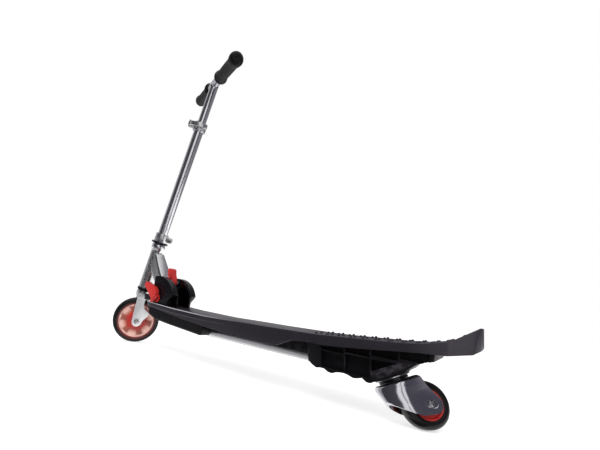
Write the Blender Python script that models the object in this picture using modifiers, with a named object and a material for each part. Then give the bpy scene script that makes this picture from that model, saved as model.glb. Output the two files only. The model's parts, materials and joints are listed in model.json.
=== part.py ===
"""Caster scooter: a folding kick scooter whose rear wheel is a leaning swivel caster.

Units are metres, +Z is up, the front of the scooter points along -X and its
left side along -Y. The model stands on the floor at Z = 0, with the middle of
its bounding box above the origin. The steering and the caster are built in the
positions that the two REST angles give.
"""
import bmesh
import bpy
from math import atan2, cos, hypot, pi, radians, sin, sqrt

# Clearances
FIT = 0.0003
RUNNING = 0.0006

# Steering geometry
RAKE = radians(14.5)
STEER_AT_REST = radians(55.0)
AXLE_BEHIND_AXIS = 0.008

# Caster geometry
CASTER_X = 0.6727
CASTER_TILT = radians(30.6)
SWIVEL_AT_REST = radians(41.2)
CASTER_TRAIL = 0.031
CASTER_DROP = 0.053

# Front wheel
FRONT_WHEEL_RADIUS = 0.0625
FRONT_WHEEL_WIDTH = 0.024
FRONT_TYRE_DEPTH = 0.0095
FRONT_BOSS_RADIUS = 0.0205
FRONT_RIM_WIDTH = 0.0065
FRONT_SPOKES = 6
FRONT_SPOKE_HALF_ANGLE = radians(8.0)
FRONT_WEB = 0.006
FRONT_DISH = 0.003
FRONT_BOSS_SLOPE = 0.001
FRONT_RIM_EDGE = 0.001
FRONT_POCKET_MARGIN = 0.002
FRONT_POCKET_RIM = 0.0015

# Rear wheel
REAR_WHEEL_RADIUS = 0.038
REAR_WHEEL_WIDTH = 0.029
REAR_TYRE_SHOULDER = 0.010
REAR_HUB_RADIUS = 0.0247
REAR_HUB_DISH = 0.004
REAR_BOSS_SLOPE = 0.0015
REAR_RIM_SLOPE = 0.0035
REAR_RIM_EDGE = 0.0005

# Bearings and axles, shared by both wheels
BEARING_RADIUS = 0.011
BEARING_WIDTH = 0.007
AXLE_RADIUS = 0.004
BOLT_HEAD_RADIUS = 0.0065
BOLT_HEAD_HEIGHT = 0.005
BOLT_HEAD_EDGE = 0.001
NUT_LIP = 0.0005
WHEEL_SPACER = 0.0035
HUB_BOSS_WALL = 0.003
FRONT_NUT_HEIGHT = 0.004
REAR_NUT_HEIGHT = 0.0055

# Front fork; its leg's edges are drawn in X and Z from the steering axis
FORK_PLATE = 0.0035
CROWN_BOTTOM = 0.0655
CROWN_TOP = 0.080
CROWN_HALF_DEPTH = 0.014
CROWN_OVERHANG = 0.0015
CROWN_FOLD_RADIUS = 0.003
FORK_END_RADIUS = 0.013
FORK_END_DROP = -0.0005
LEG_TOP_Z = CROWN_TOP - 0.002
LEG_FRONT_EDGE = ((-0.0115, LEG_TOP_Z), (-0.0085, 0.030))
LEG_REAR_EDGE = (
    (0.0235, 0.008), (0.0335, 0.024), (0.0335, 0.030), (0.0175, 0.0405), (0.0125, 0.050),
    (0.0105, LEG_TOP_Z),
)

# Head tube and headset, as heights along the steering axis
STEERER_RADIUS = 0.011
STEERER_TOP = 0.275
LOWER_CUP_BOTTOM = 0.0862
HEAD_BOTTOM = 0.0935
HEAD_TOP = 0.198
HEAD_RADIUS = 0.015
CUP_RADIUS = 0.0172
UPPER_CUP_TOP = 0.212
UPPER_CUP_LIP = 0.0008
UPPER_CUP_LIP_HEIGHT = 0.005
UPPER_CUP_NECK = 0.002
UPPER_CUP_NECK_HEIGHT = 0.004
UPPER_RACE_SLOPE = 0.001
UPPER_RACE_FOOT = 0.003
FLANGE_BOTTOM = 0.2215
FLANGE_THICKNESS = 0.0045
FLANGE_RADIUS = 0.0225
FLANGE_EDGE = 0.0012

# Steering column
COLUMN_RADIUS = 0.013
COLUMN_WALL = 0.0016
COLUMN_TOP = 0.563
CLAMP_WALL = 0.0042
CLAMP_HEIGHT = 0.022
CLAMP_SEAT_GAP = 0.0008
CLAMP_EAR_REACH = 0.0305
COLLAR_BOTTOM = 0.542
COLLAR_TOP = 0.566
COLLAR_EAR_REACH = 0.033
COLLAR_EARS_TURN = radians(168.0)
CLAMP_EARS_TURN = radians(-16.0)
EAR_WIDTH = 0.005
EAR_GAP = 0.003
EAR_SHARE_OF_CLAMP = 0.64
EAR_CORNER_RADIUS = 0.005
EAR_ROOT = 0.001
EAR_BOLT_RADIUS = 0.003
EAR_BOLT_INSET = 0.0068
EAR_BOLT_HEAD_LIP = 0.0028
EAR_BOLT_HEAD_HEIGHT = 0.004
EAR_BOLT_HEAD_EDGE = 0.0008
EAR_BOLT_NUT_HEIGHT = 0.0035
SIGHT_HOLE_HEIGHT = 0.265
SIGHT_HOLE_WIDTH = 0.004
SIGHT_HOLE_LENGTH = 0.008
SIGHT_HOLE_TURN = radians(-72)

# Quick-release lever of the height collar
LEVER_BARREL_RADIUS = 0.0052
LEVER_BARREL_HALF_LENGTH = 0.0065
LEVER_ARM_THICKNESS = 0.0042
LEVER_ARM_HEIGHT = 0.0105
LEVER_ARM_INSET = 0.0018
LEVER_ARM_START = 1
LEVER_ARM_END = 96

# Handlebar
BAR_RADIUS = 0.0111
BAR_WALL = 0.0015
BAR_HEIGHT = 0.677
BAR_HALF_LENGTH = 0.1945
STEM_BOTTOM = 0.385
GRIP_START = 0.055
GRIP_END = 0.2005
GRIP_RADIUS = 0.0140
GRIP_FLANGE_RADIUS = 0.0172
GRIP_BULB_RADIUS = 0.0168
# Shares of the bulb's radius, and how far each lies inside the grip's end
GRIP_BULB = ((0.5, 0.0), (0.72, 0.0015), (0.94, 0.0065), (1.0, 0.012), (0.95, 0.020))
GRIP_BULB_LENGTH = 0.030
GRIP_FLANGE_EDGE = 0.001
GRIP_FLANGE_WIDTH = 0.0045
GRIP_FLANGE_SLOPE = 0.009

# Deck board
DECK_LINE = (
    (0.086, 0.1226), (0.200, 0.1176), (0.300, 0.1160), (0.420, 0.1190), (0.560, 0.1245),
    (0.650, 0.1320), (0.715, 0.1390), (0.750, 0.1475), (0.775, 0.1610), (0.791, 0.1755),
)
SKIRT_LINE = (
    (0.086, 0.1120), (0.113, 0.1110), (0.161, 0.1050), (0.244, 0.0975), (0.332, 0.0915),
    (0.400, 0.0895), (0.478, 0.0895), (0.497, 0.0925), (0.507, 0.1030), (0.566, 0.1070),
    (0.653, 0.1170), (0.696, 0.1230), (0.735, 0.1275), (0.764, 0.1300), (0.784, 0.1360),
)
DECK_FRONT = 0.086
DECK_REAR = 0.7945
DECK_NOSE_HALF_WIDTH = 0.040
DECK_SHOULDER_X = 0.110
DECK_SHOULDER_HALF_WIDTH = 0.051
DECK_WAIST_X = 0.260
DECK_WAIST_HALF_WIDTH = 0.061
DECK_FULL_WIDTH_X = 0.440
DECK_HALF_WIDTH = 0.065
DECK_CORNER_RADIUS = 0.018
TAIL_CORNER_INSET = 0.0395
TAIL_HALF_WIDTH = 0.046
TAIL_TOP_INSET = 0.0035
TAIL_FOOT_INSET = 0.0105
TAIL_EDGE = 0.002
TAIL_DEPTH = 0.0315
DECK_SKIN = 0.006
SKIRT_WALL = 0.0035
CAVITY_TAIL_INSET = 0.0525
LIP_RADIUS = 0.003

# Grip studs on the rear of the deck
STUD_FIRST_X = 0.5475
STUD_END_GAP = 0.021
STUD_PITCH = 0.0205
STUD_RADIUS = 0.0025
STUD_TIP_SHARE = 0.8
STUD_HEIGHT = 0.0034
STUD_ROOT = 0.002
STUD_COLUMNS = (-0.0425, -0.0185, 0.0185, 0.0425)

# Housings, keel and spine tube under the deck
SPINE_RADIUS = 0.0127
SPINE_WALL = 0.0018
SPINE_Z = 0.083
SPINE_FRONT = 0.272
SPINE_REAR = 0.562
KEEL_HALF_WIDTH = 0.0225
KEEL_BOTTOM = 0.082
FRONT_HOUSING_REAR = 0.309
REAR_HOUSING_FRONT = 0.538
FRONT_BELLY = (
    (0.0905, 0.1035), (0.106, 0.0910), (0.138, 0.0810), (0.181, 0.0765), (0.230, 0.0725),
    (0.277, 0.0685), (0.3035, 0.0685),
)
REAR_BELLY = (
    (0.539, 0.0740), (0.552, 0.0645), (0.566, 0.0665), (0.580, 0.0605), (0.592, 0.0650),
    (0.608, 0.0660), (0.620, 0.0620), (0.634, 0.0660),
)
TAIL_BELLY = ((0.7045, 0.0985), (0.712, 0.1055), (0.727, 0.1125), (0.746, 0.1195))
SEAT_LIP = (0.641, 0.0610)
SEAT_FRONT = 0.6475
SEAT_REAR = 0.699
SEAT_RELIEF = 0.001
HOUSING_TOP_HALF_WIDTH = 0.0590
HOUSING_BELLY_HALF_WIDTH = 0.0415
HOUSING_BELLY_Z = 0.066
HOUSING_SHOULDER_Z = 0.108
HOUSING_CORE_HALF_WIDTH = 0.0335
RIB_PITCH = 0.0425
RIB_THICKNESS = 0.0028
REAR_FIRST_RIB_X = 0.5625
FRONT_FIRST_RIB_X = 0.1325
SHELF_RIB_Z = 0.0955
SHELF_RIB_SLOPE = 0.085
HOUSING_FLOOR = 0.0055
HOUSING_TOP_Z = 0.16
HOUSING_BELLY_DRAFT = 0.004
HOUSING_BELLY_DEPTH = 0.03
HOUSING_SHOULDER_INSET = 0.002
FRONT_HOUSING_FACE_INSET = 0.0045
FRONT_HOUSING_FACE_Z = 0.1100
FRONT_HOUSING_HEEL = (FRONT_HOUSING_REAR - 0.001, 0.0735)
FRONT_HOUSING_HEEL_TOP = 0.080
FRONT_CELL_ROWS = 4
FRONT_CELL_ROOF = 0.004
REAR_LOWER_CELLS = 3
REAR_UPPER_CELLS = 4
REAR_CELL_ROOF = 0.002
REAR_CELL_LOWEST = 0.0640
UPPER_CELL_INSET = 0.010
LEAST_CELL_HEIGHT = 0.004
CELL_DEPTH = 0.1
HOUSING_END_GAP = 0.004

# Caster mount and fork
RACE_RADIUS = 0.029
RACE_THICKNESS = 0.0022
BOSS_RADIUS = 0.031
BOSS_HEIGHT = 0.022
SWIVEL_BEARING_RADIUS = 0.0245
SWIVEL_BEARING_THICKNESS = 0.0040
KINGPIN_RADIUS = 0.005
KINGPIN_HEAD_RADIUS = 0.009
KINGPIN_HEAD_HEIGHT = 0.005
KINGPIN_TOP = 0.020
KINGPIN_BORE_TOP = 0.0205
HOOD_RADIUS = 0.0335
HOOD_WALL = 0.003
HOOD_SHOULDER = 0.004
LEG_HALF_WIDTH = 0.0260
LEG_SHOULDER = 0.003
LEG_END_RADIUS = 0.0145
# Radius and height of the hood where it narrows below its shoulder
HOOD_WAIST = ((0.0295, -0.028), (0.0268, -0.040), (LEG_HALF_WIDTH, -0.050))
# The hood's side view, in X and Z from the kingpin
HOOD_FRONT_EDGE = (
    (-0.045, 0.0), (-0.045, -0.034), (-0.0265, -0.0375), (-0.0225, -0.0460), (-0.0160, -0.0535),
    (-0.0050, -0.0610), (0.0110, -0.0665),
)
HOOD_REAR_EDGE = (
    (0.0405, -0.0375), (0.0330, -0.0260), (0.0290, -0.0140), (0.0290, -0.0095), (0.036, -0.0095),
    (0.036, 0.0),
)
LEG_END_OFFSET = (0.002, -0.001)
HOOD_REACH = 0.02
HOOD_LOW = -0.085
HOOD_INSIDE_LOW = -0.090

# Folding hinge
PIVOT_X = 0.126
PIVOT_Z = 0.134
PIVOT_BOLT_RADIUS = 0.005
PIVOT_HEAD_RADIUS = 0.0085
PIVOT_HEAD_HEIGHT = 0.005
PIVOT_HEAD_EDGE = 0.001
PIVOT_END_RECESS = 0.0005
KNUCKLE_RADIUS = 0.0115
KNUCKLE_HALF_WIDTH = 0.0200
# The down tube's rear and front lines from the side
DOWN_TUBE_REAR = ((0.050, 0.2445), (0.0785, 0.2505), (0.1165, 0.188))
DOWN_TUBE_FRONT = ((0.0985, 0.1475), (0.0735, 0.180), (0.0605, 0.226), (0.046, 0.226))
DOWN_TUBE_TOP_HALF_WIDTH = 0.0148
DOWN_TUBE_TAPER_START = 0.179
DOWN_TUBE_TAPER_END = 0.245
DOWN_TUBE_EDGE = 0.003
HINGE_PLATE = 0.003
BRACKET_RIM = 0.003
BRACKET_FRONT = 0.100
BRACKET_STEP_Z = 0.136
BRACKET_NOSE = ((0.058, 0.1245), (0.0565, 0.1390), (0.062, 0.1385), (0.082, 0.1315), (0.104, 0.1255))
BRACKET_NOSE_INSET = 0.002
QUADRANT_X = 0.122
QUADRANT_Z = 0.133
COVER_RADIUS = 0.057
COVER_FRONT = 0.1065
COVER_WIDTH = 0.0200
COVER_RECESS = 0.0025
COVER_RIM = 0.0080
COVER_HUB = 0.0220
COVER_EDGE = 0.0032
COVER_NOTCH = ((0.1730, 0.1430), (0.1635, 0.1315))
COVER_NOTCH_FOOT = 0.1625
QUADRANT_REAR = 0.1765
SADDLE_RADIUS = 0.0105
SADDLE_THICKNESS = 0.0027
CAM_BARREL_RADIUS = 0.0055
CAM_BARREL_HALF_LENGTH = 0.0115
CAM_BARREL_TURN = radians(45)
CAM_LEVER_WIDTH = 0.0115
CAM_BLADE_OFFSET = 0.0018
CAM_BLADE_CORNER = 0.0045
CAM_BLADE_EDGE = 0.002
# How far the blade's root reaches behind the barrel's axis; opened, that side faces the saddle
CAM_ROOT_REACH = 0.0024
# The blade from its tip to its root, square to the barrel's axis and along it
CAM_BLADE = (
    (-0.00672, 0.01874), (-0.01803, 0.01945), (-0.04738, 0.00707), (-0.04702, -0.00601),
    (-0.02581, -0.00460), (0.0, -0.00566),
)
CAM_ROOT_TOP = 0.0113
PADDLE_PIN_X = 0.1290
PADDLE_PIN_Z = 0.1765
PADDLE_HALF_WIDTH = 0.0135
PADDLE_PIN_RADIUS = 0.002
PADDLE_PIN_END = 0.0005
PADDLE_BARREL_RADIUS = 0.0052
PADDLE_CORNER = 0.004
PADDLE_EDGE = 0.0022
# The paddle from its pin
PADDLE_BLADE = (
    (0.0125, 0.006), (0.0125, 0.016), (0.002, 0.0325), (-0.014, 0.0395), (-0.0215, 0.0365),
    (-0.0225, 0.0325), (-0.0085, 0.0105),
)
PADDLE_EAR_ROOT = ((0.1135, 0.172), (0.1095, 0.190))
PADDLE_EAR_INSET = 0.0025

# Sizes that follow from the ones above
FRONT_TYRE_SHOULDER = FRONT_TYRE_DEPTH - 2 * FIT
HUB_HALF_WIDTH = FRONT_WHEEL_WIDTH / 2
FORK_INNER_HALF = HUB_HALF_WIDTH + WHEEL_SPACER + RUNNING
FORK_OUTER_HALF = FORK_INNER_HALF + FORK_PLATE
PLATE_INNER = KNUCKLE_HALF_WIDTH + RUNNING
PLATE_OUTER = PLATE_INNER + HINGE_PLATE
COVER_INNER = PLATE_OUTER + FIT
COVER_OUTER = COVER_INNER + COVER_WIDTH
SPINE_MIDDLE = (SPINE_FRONT + SPINE_REAR) / 2
STEERER_BORE = STEERER_RADIUS + FIT
BEARING_OUTER_FACE = 0.0005
TAIL_CORNER_X = DECK_REAR - TAIL_CORNER_INSET
TAIL_TOP_X = DECK_REAR - TAIL_TOP_INSET
TAIL_FOOT_X = DECK_REAR - TAIL_FOOT_INSET
CAVITY_REAR = DECK_REAR - CAVITY_TAIL_INSET
HOUSING_END = CAVITY_REAR - HOUSING_END_GAP

# Reach of a cutter that only has to pass through
THROUGH = 0.06
BEYOND = 0.01

# Facets round a full turn
WHEEL_FACETS = 32
CASTER_WHEEL_FACETS = 26
TUBE_FACETS = 20
BOLT_FACETS = 16
SMALL_FACETS = 12
PIN_FACETS = 8
STUD_FACETS = 6

# Length of a facet along the board's and the housings' smooth lines
DECK_STEP = 0.035
SKIRT_STEP = 0.030
CAVITY_STEP = 0.024
BELLY_STEP = 0.02
REAR_BELLY_STEP = 0.0075
TAIL_BELLY_STEP = 0.011
STUD_LEAN_STEP = 0.004

PARTS = None
GUIDES = None
FINISHES = {}


def clear_scene():
    """Empty the file, so that the script can be run again in place."""
    for old in list(bpy.data.objects):
        bpy.data.objects.remove(old)
    for old in list(bpy.data.collections):
        bpy.data.collections.remove(old)


def new_collection(name):
    """A collection linked to the scene."""
    group = bpy.data.collections.new(name)
    bpy.context.scene.collection.children.link(group)
    return group


def finish(name, colour, roughness, metallic):
    """A Principled material."""
    surface = bpy.data.materials.new(name)
    surface.use_nodes = True
    shader = surface.node_tree.nodes["Principled BSDF"]
    shader.inputs["Base Color"].default_value = (*colour, 1.0)
    shader.inputs["Roughness"].default_value = roughness
    shader.inputs["Metallic"].default_value = metallic
    FINISHES[name] = surface


def make_finishes():
    """The colours read from the photograph."""
    finish("polished_steel", (0.72, 0.73, 0.75), 0.12, 1.0)
    finish("brushed_silver", (0.66, 0.66, 0.67), 0.32, 1.0)
    finish("chrome_plate", (0.60, 0.60, 0.63), 0.08, 1.0)
    finish("dark_steel", (0.06, 0.06, 0.07), 0.35, 1.0)
    finish("black_moulding", (0.014, 0.013, 0.016), 0.32, 0.0)
    finish("black_rubber", (0.012, 0.012, 0.012), 0.75, 0.0)
    finish("red_moulding", (0.52, 0.02, 0.015), 0.30, 0.0)
    finish("copper_core", (0.80, 0.36, 0.30), 0.25, 1.0)


def add_object(name, mesh, surface, parent):
    """Link a mesh as a visible part; without a surface it is a guide for a Boolean."""
    made = bpy.data.objects.new(name, mesh)
    if surface is None:
        GUIDES.objects.link(made)
        made.hide_render = True
        made.display_type = 'WIRE'
    else:
        PARTS.objects.link(made)
        mesh.materials.append(FINISHES[surface])
    made.parent = parent
    return made


def add_axis(name, parent, location=(0, 0, 0), rotation=(0, 0, 0)):
    """An empty on a joint's axis, or at a place that several parts share."""
    axis = bpy.data.objects.new(name, None)
    axis.empty_display_size = 0.02
    PARTS.objects.link(axis)
    axis.parent = parent
    axis.location = location
    axis.rotation_euler = rotation
    return axis


def fuse(target, guide):
    """Weld a guide solid to a part."""
    joint = target.modifiers.new("Fuse " + guide.name, 'BOOLEAN')
    joint.operation = 'UNION'
    joint.object = guide


def cut(target, guide):
    """Take a guide solid out of a part."""
    joint = target.modifiers.new("Cut " + guide.name, 'BOOLEAN')
    joint.operation = 'DIFFERENCE'
    joint.object = guide


def keep_inside(target, guide):
    """Keep only what lies inside a guide solid."""
    joint = target.modifiers.new("Keep " + guide.name, 'BOOLEAN')
    joint.operation = 'INTERSECT'
    joint.object = guide


def round_edges(target, width, segments=2, angle=40):
    """Round the sharp edges of a part."""
    bevel = target.modifiers.new("Round edges", 'BEVEL')
    bevel.width = width
    bevel.segments = segments
    bevel.limit_method = 'ANGLE'
    bevel.angle_limit = radians(angle)
    bevel.use_clamp_overlap = True


def turned(name, profile, surface, parent, segments=TUBE_FACETS, closed=True):
    """Turn (radius, height) points about local Z; they run down the outer side."""
    mesh = bpy.data.meshes.new(name)
    points = [(radius, 0.0, height) for radius, height in profile]
    edges = [(i, i + 1) for i in range(len(points) - 1)]
    if closed:
        edges.append((len(points) - 1, 0))
    mesh.from_pydata(points, edges, [])
    made = add_object(name, mesh, surface, parent)
    turn = made.modifiers.new("Turn", 'SCREW')
    turn.axis = 'Z'
    turn.steps = segments
    turn.render_steps = segments
    turn.use_merge_vertices = True
    turn.merge_threshold = 0.000001
    turn.use_smooth_shade = True
    return made


def ring(name, outer, inner, top, bottom, surface, parent, segments=TUBE_FACETS, edge=0.0):
    """A plain turned ring, with a chamfer on its outer edges if one is asked for."""
    if edge > 0:
        profile = [
            (inner, top), (outer - edge, top), (outer, top - edge),
            (outer, bottom + edge), (outer - edge, bottom), (inner, bottom),
        ]
    else:
        profile = [(inner, top), (outer, top), (outer, bottom), (inner, bottom)]
    return turned(name, profile, surface, parent, segments)


def rod(name, radius, top, bottom, surface, parent, segments=TUBE_FACETS):
    """A plain round bar along local Z."""
    profile = [(0.0, top), (radius, top), (radius, bottom), (0.0, bottom)]
    return turned(name, profile, surface, parent, segments, closed=False)


def flat(name, outlines, thickness, surface, parent):
    """Outlines in local XY, the first outside and the rest holes, extruded about Z = 0."""
    curve = bpy.data.curves.new(name, 'CURVE')
    curve.dimensions = '2D'
    curve.fill_mode = 'BOTH'
    curve.extrude = thickness / 2
    for outline in outlines:
        spline = curve.splines.new('POLY')
        spline.points.add(len(outline) - 1)
        for point, (x, y) in zip(spline.points, outline):
            point.co = (x, y, 0.0, 1.0)
        spline.use_cyclic_u = True
    drawn = bpy.data.objects.new(name, curve)
    GUIDES.objects.link(drawn)
    bpy.context.view_layer.update()
    graph = bpy.context.evaluated_depsgraph_get()
    mesh = bpy.data.meshes.new_from_object(drawn.evaluated_get(graph))
    bpy.data.objects.remove(drawn)
    weld(mesh)
    return add_object(name, mesh, surface, parent)


def weld(mesh):
    """Join the loose caps of a converted curve to its sides."""
    solid = bmesh.new()
    solid.from_mesh(mesh)
    bmesh.ops.remove_doubles(solid, verts=solid.verts, dist=0.000001)
    bmesh.ops.recalc_face_normals(solid, faces=solid.faces)
    solid.to_mesh(mesh)
    solid.free()


def side_flat(name, outlines, half_width, surface, parent, middle=0.0):
    """Outlines drawn in X and Z, as seen from the left, extruded across Y."""
    made = flat(name, outlines, 2 * half_width, surface, parent)
    made.rotation_euler = (pi / 2, 0, 0)
    made.location = (0, middle, 0)
    return made


def blocks(name, boxes, parent):
    """One guide mesh of separate boxes, each (x, y, z, length, width, height)."""
    solid = bmesh.new()
    for x, y, z, length, width, height in boxes:
        corners = bmesh.ops.create_cube(solid, size=1.0)["verts"]
        bmesh.ops.scale(solid, vec=(length, width, height), verts=corners)
        bmesh.ops.translate(solid, vec=(x, y, z), verts=corners)
    mesh = bpy.data.meshes.new(name)
    solid.to_mesh(mesh)
    solid.free()
    return add_object(name, mesh, None, parent)


def arc(centre_x, centre_y, radius, start, end, steps):
    """Points along an arc, from one angle to another in degrees."""
    points = []
    for i in range(steps + 1):
        angle = radians(start + (end - start) * i / steps)
        points.append((centre_x + radius * cos(angle), centre_y + radius * sin(angle)))
    return points


def rounded(points, radius, steps=3):
    """An outline with each corner replaced by an arc that touches both sides."""
    outline = []
    count = len(points)
    for i, (x, y) in enumerate(points):
        before = points[i - 1]
        after = points[(i + 1) % count]
        back = (before[0] - x, before[1] - y)
        ahead = (after[0] - x, after[1] - y)
        back_length = hypot(*back)
        ahead_length = hypot(*ahead)
        back = (back[0] / back_length, back[1] / back_length)
        ahead = (ahead[0] / ahead_length, ahead[1] / ahead_length)
        cosine = max(-1.0, min(1.0, back[0] * ahead[0] + back[1] * ahead[1]))
        half_tangent = sqrt(max(0.0, (1 + cosine) / max(1e-9, 1 - cosine)))
        reach = min(radius * half_tangent, 0.45 * back_length, 0.45 * ahead_length)
        if reach < 0.0002:
            outline.append((x, y))
            continue
        start = (x + back[0] * reach, y + back[1] * reach)
        end = (x + ahead[0] * reach, y + ahead[1] * reach)
        for k in range(steps + 1):
            t = k / steps
            a = (1 - t) * (1 - t)
            b = 2 * t * (1 - t)
            c = t * t
            outline.append((a * start[0] + b * x + c * end[0], a * start[1] + b * y + c * end[1]))
    return outline


def height_on(line, x):
    """Height of a smooth line through the given (x, z) points."""
    last = len(line) - 1
    i = 0
    while i < last - 1 and x > line[i + 1][0]:
        i += 1
    x0, z0 = line[i]
    x1, z1 = line[i + 1]
    rise = (z1 - z0) / (x1 - x0)
    before = line[i - 1] if i > 0 else (x0 - (x1 - x0), z0 - (z1 - z0))
    after = line[i + 2] if i + 2 <= last else (x1 + (x1 - x0), z1 + (z1 - z0))
    slope0 = ((z0 - before[1]) / (x0 - before[0]) + rise) / 2
    slope1 = (rise + (after[1] - z1) / (after[0] - x1)) / 2
    span = x1 - x0
    t = (x - x0) / span
    a = 2 * t ** 3 - 3 * t ** 2 + 1
    b = t ** 3 - 2 * t ** 2 + t
    c = -2 * t ** 3 + 3 * t ** 2
    d = t ** 3 - t ** 2
    return a * z0 + b * span * slope0 + c * z1 + d * span * slope1


def sample(line, start, end, step):
    """Points along a smooth line, evenly spaced in x."""
    count = max(2, round(abs(end - start) / step))
    points = []
    for i in range(count + 1):
        x = start + (end - start) * i / count
        points.append((x, height_on(line, x)))
    return points


def lifted(points, rise):
    """The same points moved up or down."""
    return [(x, z + rise) for x, z in points]


def standing_height(radius, width, shoulder, lean_sine):
    """Height of a leaning wheel's centre when its tyre touches the floor."""
    upright = sqrt(1 - lean_sine ** 2)
    return (radius - shoulder) * upright + (width / 2 - shoulder) * abs(lean_sine) + shoulder


def make_axes():
    """The empties that the parts hang from, one for each joint or group."""
    front_height = standing_height(
        FRONT_WHEEL_RADIUS, FRONT_WHEEL_WIDTH, FRONT_TYRE_SHOULDER, sin(RAKE) * sin(STEER_AT_REST))
    rear_height = standing_height(
        REAR_WHEEL_RADIUS, REAR_WHEEL_WIDTH, REAR_TYRE_SHOULDER, sin(CASTER_TILT) * sin(SWIVEL_AT_REST))
    foot_z = front_height + AXLE_BEHIND_AXIS * cos(STEER_AT_REST) * sin(RAKE)
    caster_z = rear_height + CASTER_DROP * cos(CASTER_TILT)
    caster_z -= CASTER_TRAIL * sin(CASTER_TILT) * cos(SWIVEL_AT_REST)
    axes = {}
    axes["scooter"] = add_axis("scooter_axes", None)
    axes["fold"] = add_axis("fold_axis", axes["scooter"], (PIVOT_X, 0, PIVOT_Z))
    axes["frame"] = add_axis("front_frame_place", axes["fold"], (-PIVOT_X, 0, -PIVOT_Z))
    axes["head"] = add_axis("head_axis", axes["frame"], (0, 0, foot_z), (0, RAKE, 0))
    axes["steer"] = add_axis("steering_axis", axes["head"], (0, 0, 0), (0, 0, STEER_AT_REST))
    axes["bars"] = add_axis("bar_height_axis", axes["steer"])
    axes["front_axle"] = add_axis(
        "front_axle_axis", axes["steer"], (AXLE_BEHIND_AXIS, 0, 0), (pi / 2, 0, 0))
    axes["kingpin"] = add_axis(
        "kingpin_axis", axes["scooter"], (CASTER_X, 0, caster_z), (0, -CASTER_TILT, 0))
    axes["caster"] = add_axis("caster_axis", axes["kingpin"], (0, 0, 0), (0, 0, SWIVEL_AT_REST))
    axes["rear_axle"] = add_axis(
        "rear_axle_axis", axes["caster"], (CASTER_TRAIL, 0, -CASTER_DROP), (pi / 2, 0, 0))
    axes["pivot"] = add_axis("pivot_bolt_axis", axes["scooter"], (PIVOT_X, 0, PIVOT_Z), (pi / 2, 0, 0))
    axes["paddle"] = add_axis("paddle_axis", axes["frame"], (PADDLE_PIN_X, 0, PADDLE_PIN_Z))
    axes["caster_z"] = caster_z
    return axes


def tyre(name, radius, inner, width, shoulder, parent, segments):
    """A solid tyre with round shoulders."""
    half = width / 2
    profile = [(inner, half)]
    profile += arc(radius - shoulder, half - shoulder, shoulder, 90, 0, 2)
    profile += arc(radius - shoulder, shoulder - half, shoulder, 0, -90, 2)
    profile.append((inner, -half))
    return turned(name, profile, "black_rubber", parent, segments)


def bearing(name, side, face, parent):
    """A shielded bearing, seated in the hub and just below its face."""
    outer = side * (face - BEARING_OUTER_FACE)
    inner = side * (face - BEARING_OUTER_FACE - BEARING_WIDTH)
    ring(name, BEARING_RADIUS, AXLE_RADIUS + FIT, max(outer, inner), min(outer, inner),
         "brushed_silver", parent, BOLT_FACETS)


def bearing_seats(name, face, parent):
    """The bore of a hub: two bearing seats with a narrower hole between them."""
    seat = BEARING_RADIUS + FIT
    floor = face - BEARING_OUTER_FACE - BEARING_WIDTH - FIT
    through = AXLE_RADIUS + HUB_BOSS_WALL
    profile = [
        (0.0, face + BEYOND), (seat, face + BEYOND), (seat, floor), (through, floor),
        (through, -floor), (seat, -floor), (seat, -face - BEYOND), (0.0, -face - BEYOND),
    ]
    return turned(name, profile, None, parent, BOLT_FACETS, closed=False)


def front_wheel(axle):
    """Tyre and a core with six blind pockets on each face."""
    core_radius = FRONT_WHEEL_RADIUS - FRONT_TYRE_DEPTH
    tyre("front_tyre", FRONT_WHEEL_RADIUS, core_radius + FIT, FRONT_WHEEL_WIDTH,
         FRONT_TYRE_SHOULDER, axle, WHEEL_FACETS)
    half = HUB_HALF_WIDTH
    lip = core_radius - FRONT_RIM_WIDTH
    dish = half - FRONT_DISH
    boss_foot = FRONT_BOSS_RADIUS + FRONT_BOSS_SLOPE
    edge = half - FRONT_RIM_EDGE
    profile = [
        (0.0, half), (FRONT_BOSS_RADIUS, half), (boss_foot, dish), (lip, dish), (core_radius, edge),
        (core_radius, -edge), (lip, -dish), (boss_foot, -dish), (FRONT_BOSS_RADIUS, -half), (0.0, -half),
    ]
    core = turned("front_wheel_core", profile, "copper_core", axle, WHEEL_FACETS, closed=False)
    depth = dish - FRONT_WEB / 2
    inner = boss_foot + FRONT_POCKET_MARGIN
    outer = lip - FRONT_POCKET_RIM
    for i in range(FRONT_SPOKES):
        sector = 180.0 / FRONT_SPOKES
        inner_half = sector - 2.2 * FRONT_SPOKE_HALF_ANGLE * 180 / pi
        outer_half = sector - FRONT_SPOKE_HALF_ANGLE * 180 / pi
        outline = arc(0, 0, inner, inner_half, -inner_half, 2)
        outline += arc(0, 0, outer, -outer_half, outer_half, 3)
        for side in (1, -1):
            word = "left" if side > 0 else "right"
            pocket = flat(f"front_pocket_{word}_{i + 1}", [outline], 2 * depth, None, axle)
            pocket.location = (0, 0, side * dish)
            pocket.rotation_euler = (0, 0, radians(360.0 / FRONT_SPOKES * (i + 0.5)))
            cut(core, pocket)
    cut(core, bearing_seats("front_bearing_seats", half, axle))
    bearing("front_bearing_left", 1, half, axle)
    bearing("front_bearing_right", -1, half, axle)


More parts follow.
